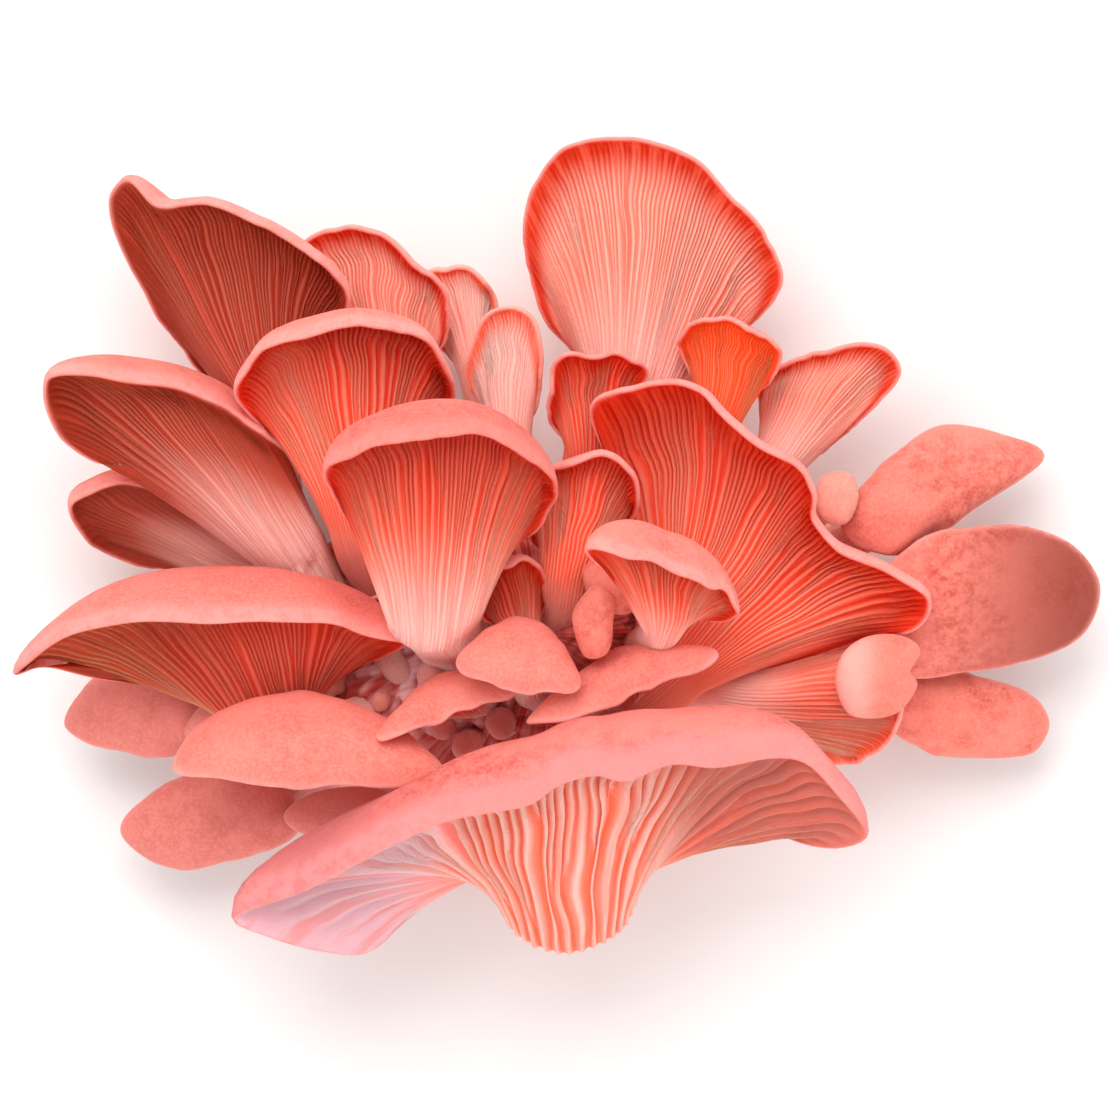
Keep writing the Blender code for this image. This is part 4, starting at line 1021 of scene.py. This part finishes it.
grow("cap_small_lower_right", "coral_pale", (0.2, -0.2, 0.96), 44, 3.5,
     [(57.5, -25), (58.5, -19.5), (63, -16), (69.5, -15.5), (73.5, -18), (71.5, -22), (73, -25),
      (70.5, -29), (66, -31), (60, -30.4)],
     [(63, -26), (59, -25, 30)], radii=(2.8, 3.2), gills=7, depth=0.5, wave=0.1, seed=17,
     joins="funnel_right")
grow("bud_right", "peach", (0.3, 0.3, 0.9), 36, 2,
     [(54.4, 16), (60, 17), (61.4, 12), (59, 7.6), (54.6, 9)],
     [(57, 12), (42, 0, 22)], radii=(2.4, 4), gills=7, depth=0.4, wave=0.1, seed=26)
grow("bud_left", "rose", (-0.4, 0.2, 0.9), 31.5, 3,
     [(-73, -35), (-70, -30), (-65, -27.6), (-61, -29), (-62, -33.6), (-68, -37.6)],
     [(-66, -32), (-56, -30, 26)], radii=(2.6, 4), gills=7, depth=0.4, wave=0.1, seed=32,
     joins="bonnet_left")

# %% [markdown]
# ## The butt
#
# All stems grow out of one lump of pale flesh, cut flat below. It is a star-shaped surface: from
# its centre every direction has one distance, a flattened ball's, with a knob that rises to meet
# each stem's foot and small lumps of young tissue all over. Balls joined by hand would leave seams
# that show. The creases between the lumps are painted redder than their crests, as painted shade,
# and the crests are pale only round one spot, the young tissue that shows in the middle of the
# cluster; everywhere else they are painted dark red too, as painted shade under the caps.

# %% Butt
BASE_CENTRE = np.array([-1.0, -15.0, 12.0])
BASE_HALVES = np.array([40.0, 31.0, 24.0])
KNOB_SPREAD = 0.30
FOOT_SINK = 3.0
BUTT_COLUMNS = 260
BUTT_ROWS = 110
HIGHEST = 86
LOWEST = -8
CUT_SHARE = 0.9
PALE_SPOT = (-22.0, -20.0)
PALE_REACH = 14.0
LUMP_SIZE = 5.5
LUMP_HEIGHT = 1.1
GRAIN_SIZE = 2.2
GRAIN_HEIGHT = 0.28
WAVES = 14


def tissue(points, size, seed):
    """Smooth random lumps of about the given size at each point."""
    rng = np.random.default_rng(seed)
    total = np.zeros(len(points))
    for _ in range(WAVES):
        way = unit(rng.normal(size=3)) * 2 * math.pi / size * rng.uniform(0.6, 1.4)
        total += np.cos(points @ way + rng.uniform(0, 2 * math.pi))
    return total / WAVES ** 0.5


def butt_ring(lift):
    """One ring of the butt at the given angle above the level, and its paint: how high its lumps
    stand, low in the creases and away from the pale spot as painted shade.
    """
    ways = np.array(FEET, float) - BASE_CENTRE
    reach = np.linalg.norm(ways, axis=1)
    ways = ways / reach[:, None]
    own = 1 / np.linalg.norm(ways / BASE_HALVES, axis=1)
    turned = ring_turns(BUTT_COLUMNS)
    way = np.column_stack([math.cos(lift) * np.cos(turned), math.cos(lift) * np.sin(turned),
                           np.full(BUTT_COLUMNS, math.sin(lift))])
    plain = 1 / np.linalg.norm(way / BASE_HALVES, axis=1)
    spread = np.arccos(np.clip(way @ ways.T, -1, 1)) / KNOB_SPREAD
    knobs = ((reach + FOOT_SINK - own) * np.exp(-spread ** 2)).max(axis=1)
    waves = 1.2 * np.sin(7 * way[:, 0] + 5 * way[:, 1]) * np.cos(6 * way[:, 2] + 1)
    surface = BASE_CENTRE + way * (plain + np.maximum(0, knobs) + waves)[:, None]
    lumps = np.abs(tissue(surface, LUMP_SIZE, 3))
    grains = tissue(surface, GRAIN_SIZE, 4)
    # Paint: lumps lighter, creases darker as painted shade.
    crest_and_shade = np.clip(0.15 + 0.7 * lumps + 0.15 * grains, 0, 1)
    # Painted shade: away from the pale spot the crests are lowered, so the butt there takes the dark
    # gap colour.
    away = np.linalg.norm(surface[:, :2] - PALE_SPOT, axis=1) / PALE_REACH
    crest_and_shade = crest_and_shade * np.clip(1.6 - away, 0.1, 1.0)
    return surface + way * (lumps * LUMP_HEIGHT + grains * GRAIN_HEIGHT)[:, None], crest_and_shade


rings = []
values = []
for lift in np.linspace(math.radians(HIGHEST), math.radians(LOWEST), BUTT_ROWS):
    ring, crest_and_shade = butt_ring(lift)
    rings.append(ring)
    values.append(paint(BUTT_COLUMNS, crest_and_shade, 0.3, 0.8, 0.0))
cut = (rings[-1] - BASE_CENTRE) * CUT_SHARE + BASE_CENTRE
cut[:, 2] = 0.0
rings.append(cut)
values.append(values[-1])
summit = rings[0].mean(axis=0) + np.array([0.0, 0.0, 0.3])
centre_below = np.array([BASE_CENTRE[0], BASE_CENTRE[1], 0.0])
place_piece("butt", mesh_from_rings("butt", rings, values, summit, centre_below), "pale", "base")

# %% [markdown]
# ## Buds
#
# Between the big stems young fruit bodies push up as fingers and pinheads. Each is a short rod
# with a round head that is a little wider than its neck. Plain capsules would look like beads, so
# slow noise dents them.

# %% Buds
BUD_COLUMNS = 32
NECKING = 0.2
DENTS = 0.10
BUDS = [
    ((-46, -26, 35), (-40, -25, 26), 2.0, "peach"),
    ((-34, -29, 39), (-33, -25, 27), 2.0, "peach"),
    ((-10.5, -33, 43), (-8, -32, 30), 3.2, "rose"),
    ((-17, -38, 38), (-15, -34, 26), 3.2, "rose"),
    ((-22, -34.5, 36), (-20, -31, 26), 2.8, "rose"),
    ((-24, -24, 43), (-22, -20, 30), 3.0, "pale"),
    ((-16, -18.5, 45), (-14, -18, 32), 2.6, "pale"),
]


def bud_rings(tip, foot, radius, seed):
    """Rings of one bud from its round tip down to its foot, and their paint values."""
    tip = np.array(tip, float)
    foot = np.array(foot, float)
    way = unit(tip - foot)
    first = unit(np.cross(way, (0.3, 1.0, 0.2)))
    second = np.cross(way, first)
    turned = ring_turns(BUD_COLUMNS)
    spokes = np.outer(np.cos(turned), first) + np.outer(np.sin(turned), second)
    middle = tip - way * radius
    bud = []
    for share in np.linspace(0.12, 1.0, 8):
        angle = share * math.pi / 2
        bud.append(middle + way * radius * math.cos(angle) + spokes * radius * math.sin(angle))
    for share in np.linspace(0.1, 1.0, 9):
        neck = radius * (1 - NECKING * math.sin(math.pi * min(1.0, share * 1.4)))
        bud.append(middle * (1 - share) + foot * share + spokes * neck)
    shading = []
    for k, ring in enumerate(bud):
        dents = tissue(ring, radius * 2.5, seed) * DENTS * radius
        bud[k] = ring + spokes * dents[:, None]
        down = k / (len(bud) - 1)
        shading.append(paint(BUD_COLUMNS, 0.7, 0.3, 0.5 + 0.5 * down, 1.0 - down))
    return bud, shading, tip, foot - way * radius * 0.5


for number, (tip, foot, radius, kind) in enumerate(BUDS):
    bud = bud_rings(tip, foot, radius, number)
    place_piece("bud_%d" % number, mesh_from_rings("bud_%d" % number, *bud), kind, "base")
